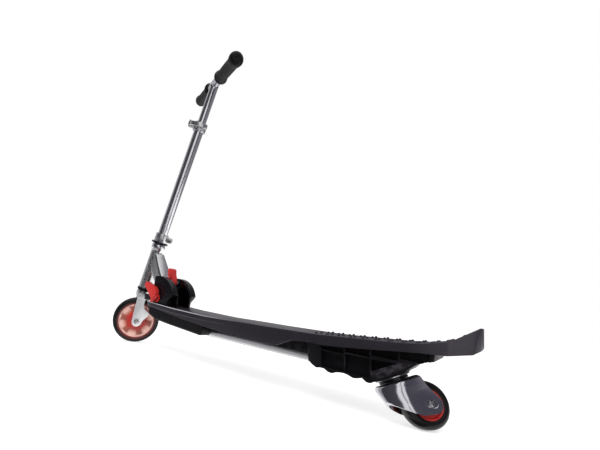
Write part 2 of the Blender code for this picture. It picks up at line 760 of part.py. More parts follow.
def rear_wheel(axle):
    """The caster's wheel: a round-shouldered tyre on a dished hub."""
    tyre("rear_tyre", REAR_WHEEL_RADIUS, REAR_HUB_RADIUS + FIT, REAR_WHEEL_WIDTH,
         REAR_TYRE_SHOULDER, axle, CASTER_WHEEL_FACETS)
    half = REAR_WHEEL_WIDTH / 2
    boss = BEARING_RADIUS + HUB_BOSS_WALL
    boss_foot = boss + REAR_BOSS_SLOPE
    rim_foot = REAR_HUB_RADIUS - REAR_RIM_SLOPE
    dish = half - REAR_HUB_DISH
    edge = half - REAR_RIM_EDGE
    profile = [
        (0.0, half), (boss, half), (boss_foot, dish), (rim_foot, dish), (REAR_HUB_RADIUS, edge),
        (REAR_HUB_RADIUS, -edge), (rim_foot, -dish), (boss_foot, -dish), (boss, -half), (0.0, -half),
    ]
    hub = turned("rear_hub", profile, "red_moulding", axle, TUBE_FACETS, closed=False)
    cut(hub, bearing_seats("rear_bearing_seats", half, axle))
    bearing("rear_bearing_left", 1, half, axle)
    bearing("rear_bearing_right", -1, half, axle)


def axle_set(prefix, outer_half, parent, nut_height):
    """An axle bolt with its head on the left and a nut on the right."""
    head_top = outer_half + FIT + BOLT_HEAD_HEIGHT
    head_base = outer_half + FIT
    thread_end = -outer_half - nut_height - BOLT_HEAD_EDGE
    profile = [
        (0.0, head_top), (BOLT_HEAD_RADIUS - BOLT_HEAD_EDGE, head_top),
        (BOLT_HEAD_RADIUS, head_top - BOLT_HEAD_EDGE), (BOLT_HEAD_RADIUS, head_base),
        (AXLE_RADIUS, head_base), (AXLE_RADIUS, thread_end), (0.0, thread_end),
    ]
    turned(prefix + "_axle_bolt", profile, "brushed_silver", parent, SMALL_FACETS, closed=False)
    hexagon = arc(0, 0, BOLT_HEAD_RADIUS + NUT_LIP, 0, 300, 5)
    hole = arc(0, 0, AXLE_RADIUS + FIT, 0, 360 - 360 / SMALL_FACETS, SMALL_FACETS - 1)
    nut = flat(prefix + "_axle_nut", [hexagon, hole], nut_height, "brushed_silver", parent)
    nut.location = (0, 0, -outer_half - FIT - nut_height / 2)


def axle_spacers(prefix, inner_half, face, parent):
    """Collars on the axle between the fork's legs and the bearings."""
    for side, word in ((1, "left"), (-1, "right")):
        near = side * (inner_half - FIT)
        far = side * (face - BEARING_OUTER_FACE + FIT)
        ring(f"{prefix}_spacer_{word}", AXLE_RADIUS + HUB_BOSS_WALL, AXLE_RADIUS + FIT, max(near, far),
             min(near, far), "brushed_silver", parent, SMALL_FACETS)


def front_fork(steer, axle):
    """Two stamped legs with a rear flare under a folded crown."""
    axle_x = AXLE_BEHIND_AXIS
    leg_side = [*LEG_FRONT_EDGE, (axle_x - FORK_END_RADIUS, 2 * FORK_END_DROP)]
    leg_side += arc(axle_x, FORK_END_DROP, FORK_END_RADIUS, 195, 345, 6)
    leg_side += LEG_REAR_EDGE
    middle = (FORK_INNER_HALF + FORK_OUTER_HALF) / 2
    fork = side_flat("fork", [leg_side], FORK_PLATE / 2, "brushed_silver", steer, -middle)
    right = side_flat("fork_right_leg", [leg_side], FORK_PLATE / 2, None, steer, middle)
    crown_front = -CROWN_HALF_DEPTH
    crown_side = [
        (crown_front, CROWN_BOTTOM), (crown_front, CROWN_TOP), (CROWN_HALF_DEPTH, CROWN_TOP),
        (CROWN_HALF_DEPTH, CROWN_BOTTOM),
    ]
    crown_outline = rounded(crown_side, CROWN_FOLD_RADIUS, 2)
    crown = side_flat("fork_crown", [crown_outline], FORK_OUTER_HALF + CROWN_OVERHANG, None, steer)
    bore = rod("fork_axle_bore", AXLE_RADIUS + FIT, THROUGH, -THROUGH, None, axle, SMALL_FACETS)
    fuse(fork, right)
    fuse(fork, crown)
    cut(fork, bore)
    rod("steerer", STEERER_RADIUS, STEERER_TOP, CROWN_TOP + FIT, "polished_steel", steer)
    axle_set("front", FORK_OUTER_HALF, axle, FRONT_NUT_HEIGHT)
    axle_spacers("front", FORK_INNER_HALF, HUB_HALF_WIDTH, axle)


def headset(head, steer):
    """Cups pressed on the head tube, and the races that turn with the steerer."""
    ring("lower_cup", CUP_RADIUS, STEERER_RADIUS + RUNNING, HEAD_BOTTOM - FIT, LOWER_CUP_BOTTOM,
         "dark_steel", head)
    ring("crown_race", HEAD_RADIUS, STEERER_BORE, LOWER_CUP_BOTTOM - FIT, CROWN_TOP + FIT,
         "brushed_silver", steer)
    cup_bottom = HEAD_TOP + FIT
    lip = CUP_RADIUS + UPPER_CUP_LIP
    neck = CUP_RADIUS - UPPER_CUP_NECK
    profile = [
        (STEERER_RADIUS + RUNNING, UPPER_CUP_TOP), (lip, UPPER_CUP_TOP),
        (lip, UPPER_CUP_TOP - UPPER_CUP_LIP_HEIGHT), (neck, cup_bottom + UPPER_CUP_NECK_HEIGHT),
        (neck, cup_bottom), (STEERER_RADIUS + RUNNING, cup_bottom),
    ]
    turned("upper_cup", profile, "polished_steel", head)
    foot = CUP_RADIUS + UPPER_RACE_SLOPE
    profile = [
        (STEERER_BORE, FLANGE_BOTTOM - FIT), (CUP_RADIUS - UPPER_RACE_SLOPE, FLANGE_BOTTOM - FIT),
        (foot, UPPER_CUP_TOP + UPPER_RACE_FOOT), (foot, UPPER_CUP_TOP + FIT),
        (STEERER_BORE, UPPER_CUP_TOP + FIT),
    ]
    turned("upper_race", profile, "polished_steel", steer)
    ring("headset_flange", FLANGE_RADIUS, STEERER_BORE, FLANGE_BOTTOM + FLANGE_THICKNESS, FLANGE_BOTTOM,
         "dark_steel", steer, TUBE_FACETS, edge=FLANGE_EDGE)


def clamp(name, inner, bottom, top, reach, turn, steer):
    """A split clamp ring with two ears, and the bolt that draws them together."""
    height = top - bottom
    middle = (bottom + top) / 2
    outer = inner + CLAMP_WALL
    body = ring(name, outer, inner, top, bottom, "brushed_silver", steer)
    ears_place = add_axis(name + "_ears", steer, (0, 0, middle), (0, 0, turn))
    ear_half = EAR_GAP / 2 + EAR_WIDTH
    ear_top = height * EAR_SHARE_OF_CLAMP / 2
    ear_outline = [(inner + EAR_ROOT, -ear_top), (reach, -ear_top), (reach, ear_top), (inner + EAR_ROOT, ear_top)]
    ears = side_flat(name + "_ear_block", [rounded(ear_outline, EAR_CORNER_RADIUS, 2)], ear_half, None,
                     ears_place)
    slot_box = (reach, 0, 0, 2 * (reach - inner) + CLAMP_WALL, EAR_GAP, 2 * height)
    slot = blocks(name + "_slot", [slot_box], ears_place)
    bolt_axis = add_axis(name + "_bolt_axis", ears_place, (reach - EAR_BOLT_INSET, 0, 0), (pi / 2, 0, 0))
    bore = rod(name + "_bolt_bore", EAR_BOLT_RADIUS + FIT, ear_half + BEYOND, -ear_half - BEYOND,
               None, bolt_axis, SMALL_FACETS)
    tube_bore = rod(name + "_tube_bore", inner, height, -height, None, ears_place)
    fuse(body, ears)
    cut(body, tube_bore)
    cut(body, slot)
    cut(body, bore)
    head_base = ear_half + FIT
    head_top = head_base + EAR_BOLT_HEAD_HEIGHT
    nut_end = head_base + EAR_BOLT_NUT_HEIGHT
    head_radius = EAR_BOLT_RADIUS + EAR_BOLT_HEAD_LIP
    profile = [
        (0.0, head_top), (head_radius - EAR_BOLT_HEAD_EDGE, head_top),
        (head_radius, head_top - EAR_BOLT_HEAD_EDGE), (head_radius, head_base),
        (EAR_BOLT_RADIUS, head_base), (EAR_BOLT_RADIUS, -head_base), (head_radius, -head_base),
        (head_radius, -nut_end), (0.0, -nut_end),
    ]
    turned(name + "_bolt", profile, "brushed_silver", bolt_axis, SMALL_FACETS, closed=False)
    return bolt_axis, nut_end


def column(steer):
    """The lower column with its clamps, and the quick-release lever of the upper one."""
    bottom = FLANGE_BOTTOM + FLANGE_THICKNESS + FIT
    body = ring("lower_column", COLUMN_RADIUS, COLUMN_RADIUS - COLUMN_WALL, COLUMN_TOP, bottom,
                "polished_steel", steer)
    hole_turn = add_axis("sight_hole_axis", steer, (0, 0, SIGHT_HOLE_HEIGHT), (0, 0, SIGHT_HOLE_TURN))
    near = COLUMN_RADIUS - 3 * COLUMN_WALL
    far = COLUMN_RADIUS + COLUMN_WALL
    half = SIGHT_HOLE_WIDTH / 2
    outline = [(far, -half), (far, half), (near, half), (near, -half)]
    cut(body, flat("sight_hole", [outline], SIGHT_HOLE_LENGTH, None, hole_turn))
    clamp_bottom = bottom + CLAMP_SEAT_GAP
    clamp("column_clamp", COLUMN_RADIUS + FIT, clamp_bottom, clamp_bottom + CLAMP_HEIGHT,
          CLAMP_EAR_REACH, CLAMP_EARS_TURN, steer)
    bolt_axis, bolt_end = clamp("height_collar", COLUMN_RADIUS + FIT, COLLAR_BOTTOM, COLLAR_TOP,
                                COLLAR_EAR_REACH, COLLAR_EARS_TURN, steer)
    return bolt_axis, bolt_end


def quick_release(bolt_axis, bolt_end):
    """The lever that folds round the height collar; it turns on a barrel beside the bolt."""
    barrel_z = bolt_end + FIT + LEVER_BARREL_RADIUS
    lever_axis = add_axis("quick_release_axis", bolt_axis, (0, 0, -barrel_z), (-pi / 2, 0, 0))
    body = rod("quick_release_lever", LEVER_BARREL_RADIUS, LEVER_BARREL_HALF_LENGTH,
               -LEVER_BARREL_HALF_LENGTH, "brushed_silver", lever_axis, SMALL_FACETS)
    centre_x = -(COLLAR_EAR_REACH - EAR_BOLT_INSET)
    centre_y = -barrel_z
    inner = hypot(centre_x, centre_y) - LEVER_ARM_INSET
    outer = inner + LEVER_ARM_THICKNESS
    start = atan2(-centre_y, -centre_x) * 180 / pi + LEVER_ARM_START
    end = start + LEVER_ARM_END - LEVER_ARM_START
    outline = arc(centre_x, centre_y, outer, start, end, 9)
    outline += arc(centre_x, centre_y, inner, end, start, 9)
    arm = flat("quick_release_arm", [outline], LEVER_ARM_HEIGHT, None, lever_axis)
    fuse(body, arm)
    return lever_axis


def handlebar(bars):
    """Cross bar and stem welded into a T, both open tubes."""
    stem = ring("handlebar", BAR_RADIUS, BAR_RADIUS - BAR_WALL, BAR_HEIGHT, STEM_BOTTOM,
                "polished_steel", bars)
    cross_axis = add_axis("cross_bar_axis", bars, (0, 0, BAR_HEIGHT), (pi / 2, 0, 0))
    cross = rod("cross_bar", BAR_RADIUS, BAR_HALF_LENGTH, -BAR_HALF_LENGTH, None, cross_axis)
    bore = rod("cross_bar_bore", BAR_RADIUS - BAR_WALL, BAR_HALF_LENGTH + BEYOND,
               -BAR_HALF_LENGTH - BEYOND, None, cross_axis)
    fuse(stem, cross)
    cut(stem, bore)
    for turn, word in ((0.0, "left"), (pi, "right")):
        side = add_axis(f"grip_{word}_place", cross_axis, (0, 0, 0), (turn, 0, 0))
        grip(f"grip_{word}", side)


def grip(name, side):
    """A soft grip with a flange at its inner end and a bulb at its outer end."""
    bore = BAR_RADIUS + FIT
    floor = BAR_HALF_LENGTH + FIT
    flange = GRIP_FLANGE_RADIUS
    profile = [(0.0, GRIP_END)]
    profile += [(GRIP_BULB_RADIUS * share, GRIP_END - inset) for share, inset in GRIP_BULB]
    profile += [
        (GRIP_RADIUS, GRIP_END - GRIP_BULB_LENGTH), (GRIP_RADIUS, GRIP_START + GRIP_FLANGE_SLOPE),
        (flange, GRIP_START + GRIP_FLANGE_WIDTH), (flange, GRIP_START + GRIP_FLANGE_EDGE),
        (flange - GRIP_FLANGE_EDGE, GRIP_START), (bore, GRIP_START), (bore, floor), (0.0, floor),
    ]
    turned(name, profile, "black_rubber", side, TUBE_FACETS - 4, closed=False)


def front_frame(frame, head, fold):
    """Head tube and a tapered box down tube that ends in the hinge's knuckle."""
    body = ring("front_frame", HEAD_RADIUS, STEERER_RADIUS + RUNNING, HEAD_TOP, HEAD_BOTTOM,
                "brushed_silver", head)
    outline = [*DOWN_TUBE_REAR, *arc(PIVOT_X, PIVOT_Z, KNUCKLE_RADIUS, 15, -150, 6), *DOWN_TUBE_FRONT]
    tube = side_flat("down_tube", [outline], KNUCKLE_HALF_WIDTH, None, frame)
    wide = [(PIVOT_Z - THROUGH, KNUCKLE_HALF_WIDTH), (DOWN_TUBE_TAPER_START, KNUCKLE_HALF_WIDTH)]
    narrow = [(DOWN_TUBE_TAPER_END, DOWN_TUBE_TOP_HALF_WIDTH),
              (DOWN_TUBE_TAPER_END + THROUGH, DOWN_TUBE_TOP_HALF_WIDTH)]
    taper_half = wide + narrow
    taper_outline = taper_half + [(z, -y) for z, y in reversed(taper_half)]
    taper = flat("down_tube_taper", [taper_outline], 0.4, None, frame)
    taper.rotation_euler = (0, -pi / 2, 0)
    keep_inside(tube, taper)
    round_edges(tube, DOWN_TUBE_EDGE, 1, 50)
    ear = [*arc(PADDLE_PIN_X, PADDLE_PIN_Z, PADDLE_BARREL_RADIUS, 70, -110, 4), *PADDLE_EAR_ROOT]
    ear_inner = PADDLE_HALF_WIDTH + RUNNING
    ear_outer = KNUCKLE_HALF_WIDTH - PADDLE_EAR_INSET
    ear_middle = (ear_inner + ear_outer) / 2
    fuse(body, tube)
    for side, word in ((-1, "left"), (1, "right")):
        fuse(body, side_flat(f"paddle_ear_{word}", [ear], (ear_outer - ear_inner) / 2, None, frame,
                             side * ear_middle))
    cut(body, rod("steerer_bore", STEERER_RADIUS + RUNNING, HEAD_TOP + BEYOND, HEAD_BOTTOM - BEYOND,
                  None, head))
    pivot = add_axis("knuckle_bore_axis", fold, (0, 0, 0), (pi / 2, 0, 0))
    cut(body, rod("knuckle_bore", PIVOT_BOLT_RADIUS + FIT, THROUGH, -THROUGH, None, pivot, BOLT_FACETS))
    pin_axis = add_axis("paddle_pin_axis", frame, (PADDLE_PIN_X, 0, PADDLE_PIN_Z), (pi / 2, 0, 0))
    cut(body, rod("paddle_pin_bore", PADDLE_PIN_RADIUS + FIT, THROUGH, -THROUGH, None, pin_axis,
                  PIN_FACETS))
    pin_half = ear_outer + PADDLE_PIN_END
    rod("paddle_pin", PADDLE_PIN_RADIUS, pin_half, -pin_half, "dark_steel", pin_axis, PIN_FACETS)


def release_paddle(paddle):
    """The red thumb paddle behind the down tube, on its cross pin."""
    outline = arc(0, 0, PADDLE_BARREL_RADIUS, -160, 0, 4) + rounded(PADDLE_BLADE, PADDLE_CORNER, 1)
    body = side_flat("release_paddle", [outline], PADDLE_HALF_WIDTH, "red_moulding", paddle)
    round_edges(body, PADDLE_EDGE, 1, 50)
    across = add_axis("paddle_bore_axis", paddle, (0, 0, 0), (pi / 2, 0, 0))
    cut(body, rod("paddle_bore", PADDLE_PIN_RADIUS + FIT, THROUGH, -THROUGH, None, across, PIN_FACETS))


def quadrant(radius, front, rear_notch, steps):
    """Outline of a hinge quadrant that stands on the deck's top line."""
    start = 180 - 180 / pi * atan2(sqrt(radius ** 2 - (QUADRANT_X - front) ** 2), QUADRANT_X - front)
    outline = [(front, height_on(DECK_LINE, front) + FIT)]
    outline += arc(QUADRANT_X, QUADRANT_Z, radius, start, 16 if rear_notch else 8, steps)
    if rear_notch:
        foot = height_on(DECK_LINE, COVER_NOTCH_FOOT) + FIT
        outline += [*COVER_NOTCH, (COVER_NOTCH_FOOT, foot)]
    else:
        foot = height_on(DECK_LINE, QUADRANT_REAR) + FIT
        outline += [(QUADRANT_REAR, BRACKET_STEP_Z), (QUADRANT_REAR, foot)]
    return outline


def folding_hinge(scooter, pivot):
    """Steel bracket, the two moulded quadrant covers, the pivot bolt and its saddle."""
    plate_outline = quadrant(COVER_RADIUS - BRACKET_RIM, BRACKET_FRONT, False, 12)
    middle = (PLATE_INNER + PLATE_OUTER) / 2
    bracket = side_flat("hinge_bracket", [plate_outline], HINGE_PLATE / 2, "brushed_silver", scooter,
                        -middle)
    right = side_flat("bracket_right_plate", [plate_outline], HINGE_PLATE / 2, None, scooter, middle)
    nose_rear = BRACKET_NOSE[-1][0]
    nose = [
        *BRACKET_NOSE, (nose_rear, height_on(DECK_LINE, nose_rear) + FIT),
        (DECK_FRONT - BRACKET_NOSE_INSET, height_on(DECK_LINE, DECK_FRONT) + FIT),
    ]
    nose_block = side_flat("bracket_nose", [nose], PLATE_OUTER, None, scooter)
    fuse(bracket, nose_block)
    fuse(bracket, right)
    bore_radius = PIVOT_BOLT_RADIUS + FIT
    cut(bracket, rod("bracket_bore", bore_radius, THROUGH, -THROUGH, None, pivot, BOLT_FACETS))
    for side, word in ((-1, "left"), (1, "right")):
        place = (COVER_INNER + COVER_OUTER) / 2 * side
        outline = quadrant(COVER_RADIUS, COVER_FRONT, True, 9)
        cover = side_flat("hinge_cover_" + word, [outline], COVER_WIDTH / 2, "black_moulding", scooter,
                          place)
        round_edges(cover, COVER_EDGE, 2, 50)
        inset = arc(QUADRANT_X, QUADRANT_Z, COVER_RADIUS - COVER_RIM, 96, 22, 6)
        inset += arc(QUADRANT_X, QUADRANT_Z, COVER_HUB, 26, 92, 4)
        recess = side_flat(f"cover_recess_{word}", [inset], COVER_RECESS, None, scooter, side * COVER_OUTER)
        cut(cover, recess)
        cut(cover, rod(f"cover_bore_{word}", bore_radius, THROUGH, -THROUGH, None, pivot, BOLT_FACETS))
    saddle_face = COVER_OUTER + FIT
    saddle_end = saddle_face + SADDLE_THICKNESS
    ring("cam_saddle", SADDLE_RADIUS, bore_radius, saddle_end, saddle_face, "red_moulding", pivot,
         BOLT_FACETS)
    end = saddle_end - PIVOT_END_RECESS
    head_base = -saddle_face
    head_end = head_base - PIVOT_HEAD_HEIGHT
    profile = [
        (0.0, end), (PIVOT_BOLT_RADIUS, end), (PIVOT_BOLT_RADIUS, head_base), (PIVOT_HEAD_RADIUS, head_base),
        (PIVOT_HEAD_RADIUS, head_end + PIVOT_HEAD_EDGE), (PIVOT_HEAD_RADIUS - PIVOT_HEAD_EDGE, head_end),
        (0.0, head_end),
    ]
    turned("pivot_bolt", profile, "brushed_silver", pivot, BOLT_FACETS, closed=False)
    return saddle_end


def cam_lever(scooter, saddle_end):
    """The red lever beside the left cover; it swings outward about its cam's barrel."""
    barrel_y = -(saddle_end + FIT + CAM_BARREL_RADIUS)
    lever_axis = add_axis("cam_lever_axis", scooter, (PIVOT_X, barrel_y, PIVOT_Z), (0, CAM_BARREL_TURN, 0))
    body = rod("cam_lever", CAM_BARREL_RADIUS, CAM_BARREL_HALF_LENGTH, -CAM_BARREL_HALF_LENGTH,
               "red_moulding", lever_axis, SMALL_FACETS)
    outline = [(CAM_ROOT_REACH, 0.0), (CAM_ROOT_REACH, CAM_ROOT_TOP), *CAM_BLADE]
    outline = rounded(outline, CAM_BLADE_CORNER, 1)
    blade = side_flat("cam_blade", [outline], CAM_LEVER_WIDTH / 2, None, lever_axis, -CAM_BLADE_OFFSET)
    round_edges(blade, CAM_BLADE_EDGE, 1, 50)
    fuse(body, blade)
    return lever_axis


def plan_outline(inset):
    """The deck's outline from above, drawn in from its edge by an inset."""
    half = [
        (DECK_FRONT + inset, DECK_NOSE_HALF_WIDTH - inset),
        (DECK_SHOULDER_X, DECK_SHOULDER_HALF_WIDTH - inset),
        (DECK_WAIST_X, DECK_WAIST_HALF_WIDTH - inset),
        (DECK_FULL_WIDTH_X, DECK_HALF_WIDTH - inset),
        (TAIL_CORNER_X, DECK_HALF_WIDTH - inset),
        (DECK_REAR - inset, TAIL_HALF_WIDTH - inset),
    ]
    mirrored = [(x, -y) for x, y in half]
    return rounded(mirrored + half[::-1], DECK_CORNER_RADIUS, 2)


def studs(parent):
    """Rows of round grip studs, as one guide mesh for the deck."""
    solid = bmesh.new()
    rows = int((DECK_REAR - STUD_END_GAP - STUD_FIRST_X) / STUD_PITCH) + 1
    for row in range(rows):
        x = STUD_FIRST_X + STUD_PITCH * row
        z = height_on(DECK_LINE, x)
        rise = height_on(DECK_LINE, x + STUD_LEAN_STEP) - height_on(DECK_LINE, x - STUD_LEAN_STEP)
        lean = atan2(rise, 2 * STUD_LEAN_STEP)
        for y in STUD_COLUMNS:
            made = bmesh.ops.create_cone(
                solid, cap_ends=True, segments=STUD_FACETS, radius1=STUD_RADIUS,
                radius2=STUD_RADIUS * STUD_TIP_SHARE, depth=STUD_HEIGHT + STUD_ROOT)["verts"]
            bmesh.ops.translate(solid, vec=(0, 0, (STUD_HEIGHT - STUD_ROOT) / 2), verts=made)
            for vertex in made:
                px = vertex.co.x
                pz = vertex.co.z
                vertex.co.x = x + px * cos(lean) - pz * sin(lean)
                vertex.co.y += y
                vertex.co.z = z + px * sin(lean) + pz * cos(lean)
    mesh = bpy.data.meshes.new("grip_studs")
    solid.to_mesh(mesh)
    solid.free()
    return add_object("grip_studs", mesh, None, parent)


def deck_board(scooter):
    """The moulded board: side profile and plan outline crossed, hollow below, studded behind."""
    top = sample(DECK_LINE, DECK_FRONT, TAIL_TOP_X, DECK_STEP)
    bottom = sample(SKIRT_LINE, TAIL_FOOT_X, DECK_FRONT, SKIRT_STEP)
    tail_z = height_on(DECK_LINE, TAIL_TOP_X)
    tail = [(DECK_REAR - TAIL_EDGE, tail_z - TAIL_EDGE), (DECK_REAR, tail_z - TAIL_DEPTH)]
    board = side_flat("deck_board", [top + tail + bottom], DECK_HALF_WIDTH + BEYOND, "black_moulding",
                      scooter)
    plan = flat("deck_plan", [plan_outline(0.0)], 0.4, None, scooter)
    keep_inside(board, plan)
    round_edges(board, LIP_RADIUS, 2, 50)
    cavity_front = DECK_FRONT - BEYOND
    ceiling = lifted(sample(DECK_LINE, cavity_front, CAVITY_REAR, CAVITY_STEP), -DECK_SKIN)
    low = height_on(SKIRT_LINE, CAVITY_REAR) - THROUGH
    cavity = side_flat("deck_cavity", [ceiling + [(CAVITY_REAR, low), (cavity_front, low)]],
                       DECK_HALF_WIDTH + BEYOND, None, scooter)
    cavity_plan = flat("deck_cavity_plan", [plan_outline(SKIRT_WALL)], 0.5, None, scooter)
    keep_inside(cavity, cavity_plan)
    cut(board, cavity)
    fuse(board, studs(scooter))


def housing_section(name, parent):
    """Front view of a housing, wide under the deck and narrow at its belly."""
    half = [
        (HOUSING_BELLY_Z - HOUSING_BELLY_DEPTH, HOUSING_BELLY_HALF_WIDTH - HOUSING_BELLY_DRAFT),
        (HOUSING_BELLY_Z, HOUSING_BELLY_HALF_WIDTH),
        (HOUSING_SHOULDER_Z, HOUSING_TOP_HALF_WIDTH - HOUSING_SHOULDER_INSET),
        (HOUSING_TOP_Z, HOUSING_TOP_HALF_WIDTH),
    ]
    outline = half + [(z, -y) for z, y in reversed(half)]
    section = flat(name, [outline], 2.0, None, parent)
    section.rotation_euler = (0, -pi / 2, 0)
    return section


def cells(first_rib, count, bottom_at, top_at, core, offset_bottom=0.0):
    """Boxes between ribs on both flanks, for one row of pockets."""
    boxes = []
    for i in range(count):
        start = first_rib + RIB_PITCH * i + RIB_THICKNESS / 2
        end = first_rib + RIB_PITCH * (i + 1) - RIB_THICKNESS / 2
        x = (start + end) / 2
        bottom = bottom_at(x) + offset_bottom
        top = top_at(x)
        if top - bottom < LEAST_CELL_HEIGHT:
            continue
        for side in (-1, 1):
            y = side * (core + CELL_DEPTH / 2)
            boxes.append((x, y, (bottom + top) / 2, end - start, CELL_DEPTH, top - bottom))
    return boxes


def seat_height(x, caster_z):
    """Height of the slanted caster seat, on the housing's side of the race."""
    raised = RACE_THICKNESS + FIT
    return caster_z + ((x - CASTER_X) * sin(CASTER_TILT) + raised) / cos(CASTER_TILT)


def front_housing(scooter, spine):
    """The moulded housing under the nose, with a ribbed flank on each side."""
    ceiling = lifted(sample(DECK_LINE, FRONT_HOUSING_REAR, DECK_FRONT + DECK_SKIN, SKIRT_STEP),
                     -DECK_SKIN - FIT)
    belly = sample(FRONT_BELLY, FRONT_BELLY[0][0], FRONT_BELLY[-1][0], BELLY_STEP)
    profile = ceiling + [(DECK_FRONT + FRONT_HOUSING_FACE_INSET, FRONT_HOUSING_FACE_Z)] + belly
    profile += [FRONT_HOUSING_HEEL, (FRONT_HOUSING_REAR, FRONT_HOUSING_HEEL_TOP)]
    body = side_flat("front_housing", [profile], DECK_HALF_WIDTH, "black_moulding", scooter)
    keep_inside(body, housing_section("front_housing_section", scooter))
    plan = flat("front_housing_plan", [plan_outline(SKIRT_WALL + FIT)], 0.5, None, scooter)
    keep_inside(body, plan)
    boxes = cells(FRONT_FIRST_RIB_X, FRONT_CELL_ROWS, lambda x: height_on(FRONT_BELLY, x) + HOUSING_FLOOR,
                  lambda x: height_on(DECK_LINE, x) - DECK_SKIN - FRONT_CELL_ROOF, HOUSING_CORE_HALF_WIDTH)
    cut(body, blocks("front_housing_cells", boxes, scooter))
    cut(body, rod("front_spine_bore", SPINE_RADIUS + FIT, FRONT_HOUSING_REAR - SPINE_MIDDLE + BEYOND,
                  SPINE_FRONT - SPINE_MIDDLE - RUNNING, None, spine))


def rear_housing(scooter, spine, kingpin, caster_z):
    """The ribbed housing that carries the caster, open in cells along both flanks."""
    ceiling = lifted(sample(DECK_LINE, HOUSING_END, REAR_HOUSING_FRONT, CAVITY_STEP), -DECK_SKIN - FIT)
    profile = ceiling + sample(REAR_BELLY, REAR_BELLY[0][0], REAR_BELLY[-1][0], REAR_BELLY_STEP)
    profile.append(SEAT_LIP)
    for x in (SEAT_FRONT, SEAT_REAR):
        profile.append((x, seat_height(x, caster_z) + SEAT_RELIEF))
    profile += sample(TAIL_BELLY, TAIL_BELLY[0][0], HOUSING_END, TAIL_BELLY_STEP)
    body = side_flat("rear_housing", [profile], DECK_HALF_WIDTH, "black_moulding", scooter)
    keep_inside(body, housing_section("rear_housing_section", scooter))

    def shelf(x):
        return SHELF_RIB_Z + SHELF_RIB_SLOPE * (x - REAR_FIRST_RIB_X)

    def belly(x):
        if x < SEAT_LIP[0]:
            return max(height_on(REAR_BELLY, x), REAR_CELL_LOWEST)
        seat = seat_height(min(x + RIB_PITCH / 2, SEAT_REAR + SEAT_RELIEF), caster_z)
        return max(seat, height_on(TAIL_BELLY, max(x, TAIL_BELLY[0][0])))

    def under_deck(x):
        return height_on(DECK_LINE, x) - DECK_SKIN - REAR_CELL_ROOF

    def over_shelf(x):
        return shelf(x) + RIB_THICKNESS

    lower = cells(REAR_FIRST_RIB_X, REAR_LOWER_CELLS, belly, shelf, HOUSING_CORE_HALF_WIDTH, HOUSING_FLOOR)
    upper = cells(REAR_FIRST_RIB_X, REAR_UPPER_CELLS, over_shelf, under_deck,
                  HOUSING_CORE_HALF_WIDTH + UPPER_CELL_INSET)
    cut(body, blocks("rear_lower_cells", lower, scooter))
    cut(body, blocks("rear_upper_cells", upper, scooter))
    boss = rod("caster_boss", BOSS_RADIUS, RACE_THICKNESS + FIT + BOSS_HEIGHT, RACE_THICKNESS + FIT,
               None, kingpin)
    fuse(body, boss)
    cut(body, rod("kingpin_bore", KINGPIN_RADIUS + FIT, KINGPIN_BORE_TOP, -THROUGH, None, kingpin,
                  BOLT_FACETS))
    cut(body, rod("rear_spine_bore", SPINE_RADIUS + FIT, SPINE_REAR - SPINE_MIDDLE + RUNNING,
                  REAR_HOUSING_FRONT - SPINE_MIDDLE - BEYOND, None, spine))


def keel(scooter, spine):
    """The black moulding that holds the spine tube up against the board."""
    front = FRONT_HOUSING_REAR + FIT
    rear = REAR_HOUSING_FRONT - FIT
    top = lifted(sample(DECK_LINE, rear, front, SKIRT_STEP), -DECK_SKIN - FIT)
    profile = top + [(front, KEEL_BOTTOM), (rear, KEEL_BOTTOM)]
    body = side_flat("keel", [profile], KEEL_HALF_WIDTH, "black_moulding", scooter)
    groove = rod("keel_groove", SPINE_RADIUS + FIT, 0.2, -0.2, None, spine)
    cut(body, groove)


def spine_tube(spine):
    """The silver tube that shows between the two housings."""
    reach = (SPINE_REAR - SPINE_FRONT) / 2
    ring("spine_tube", SPINE_RADIUS, SPINE_RADIUS - SPINE_WALL, reach, -reach, "polished_steel", spine)


def hood_section(radius, height, rear, half_width):
    """A U-shaped ring of points: half a circle in front, straight legs behind."""
    points = [(x, y, height) for x, y in arc(0, 0, radius, 90, 270, 12)]
    points += [(rear, -half_width, height), (rear, half_width, height)]
    return points


def hood_loft(name, sections, surface, parent):
    """A loft through U-shaped sections, from the top one to the bottom one."""
    solid = bmesh.new()
    rings = [[solid.verts.new(point) for point in section] for section in sections]
    for upper, lower in zip(rings, rings[1:]):
        count = len(upper)
        for i in range(count):
            j = (i + 1) % count
            solid.faces.new((upper[i], upper[j], lower[j], lower[i]))
    solid.faces.new(rings[0])
    solid.faces.new(list(reversed(rings[-1])))
    bmesh.ops.recalc_face_normals(solid, faces=solid.faces)
    mesh = bpy.data.meshes.new(name)
    solid.to_mesh(mesh)
    solid.free()
    return add_object(name, mesh, surface, parent)


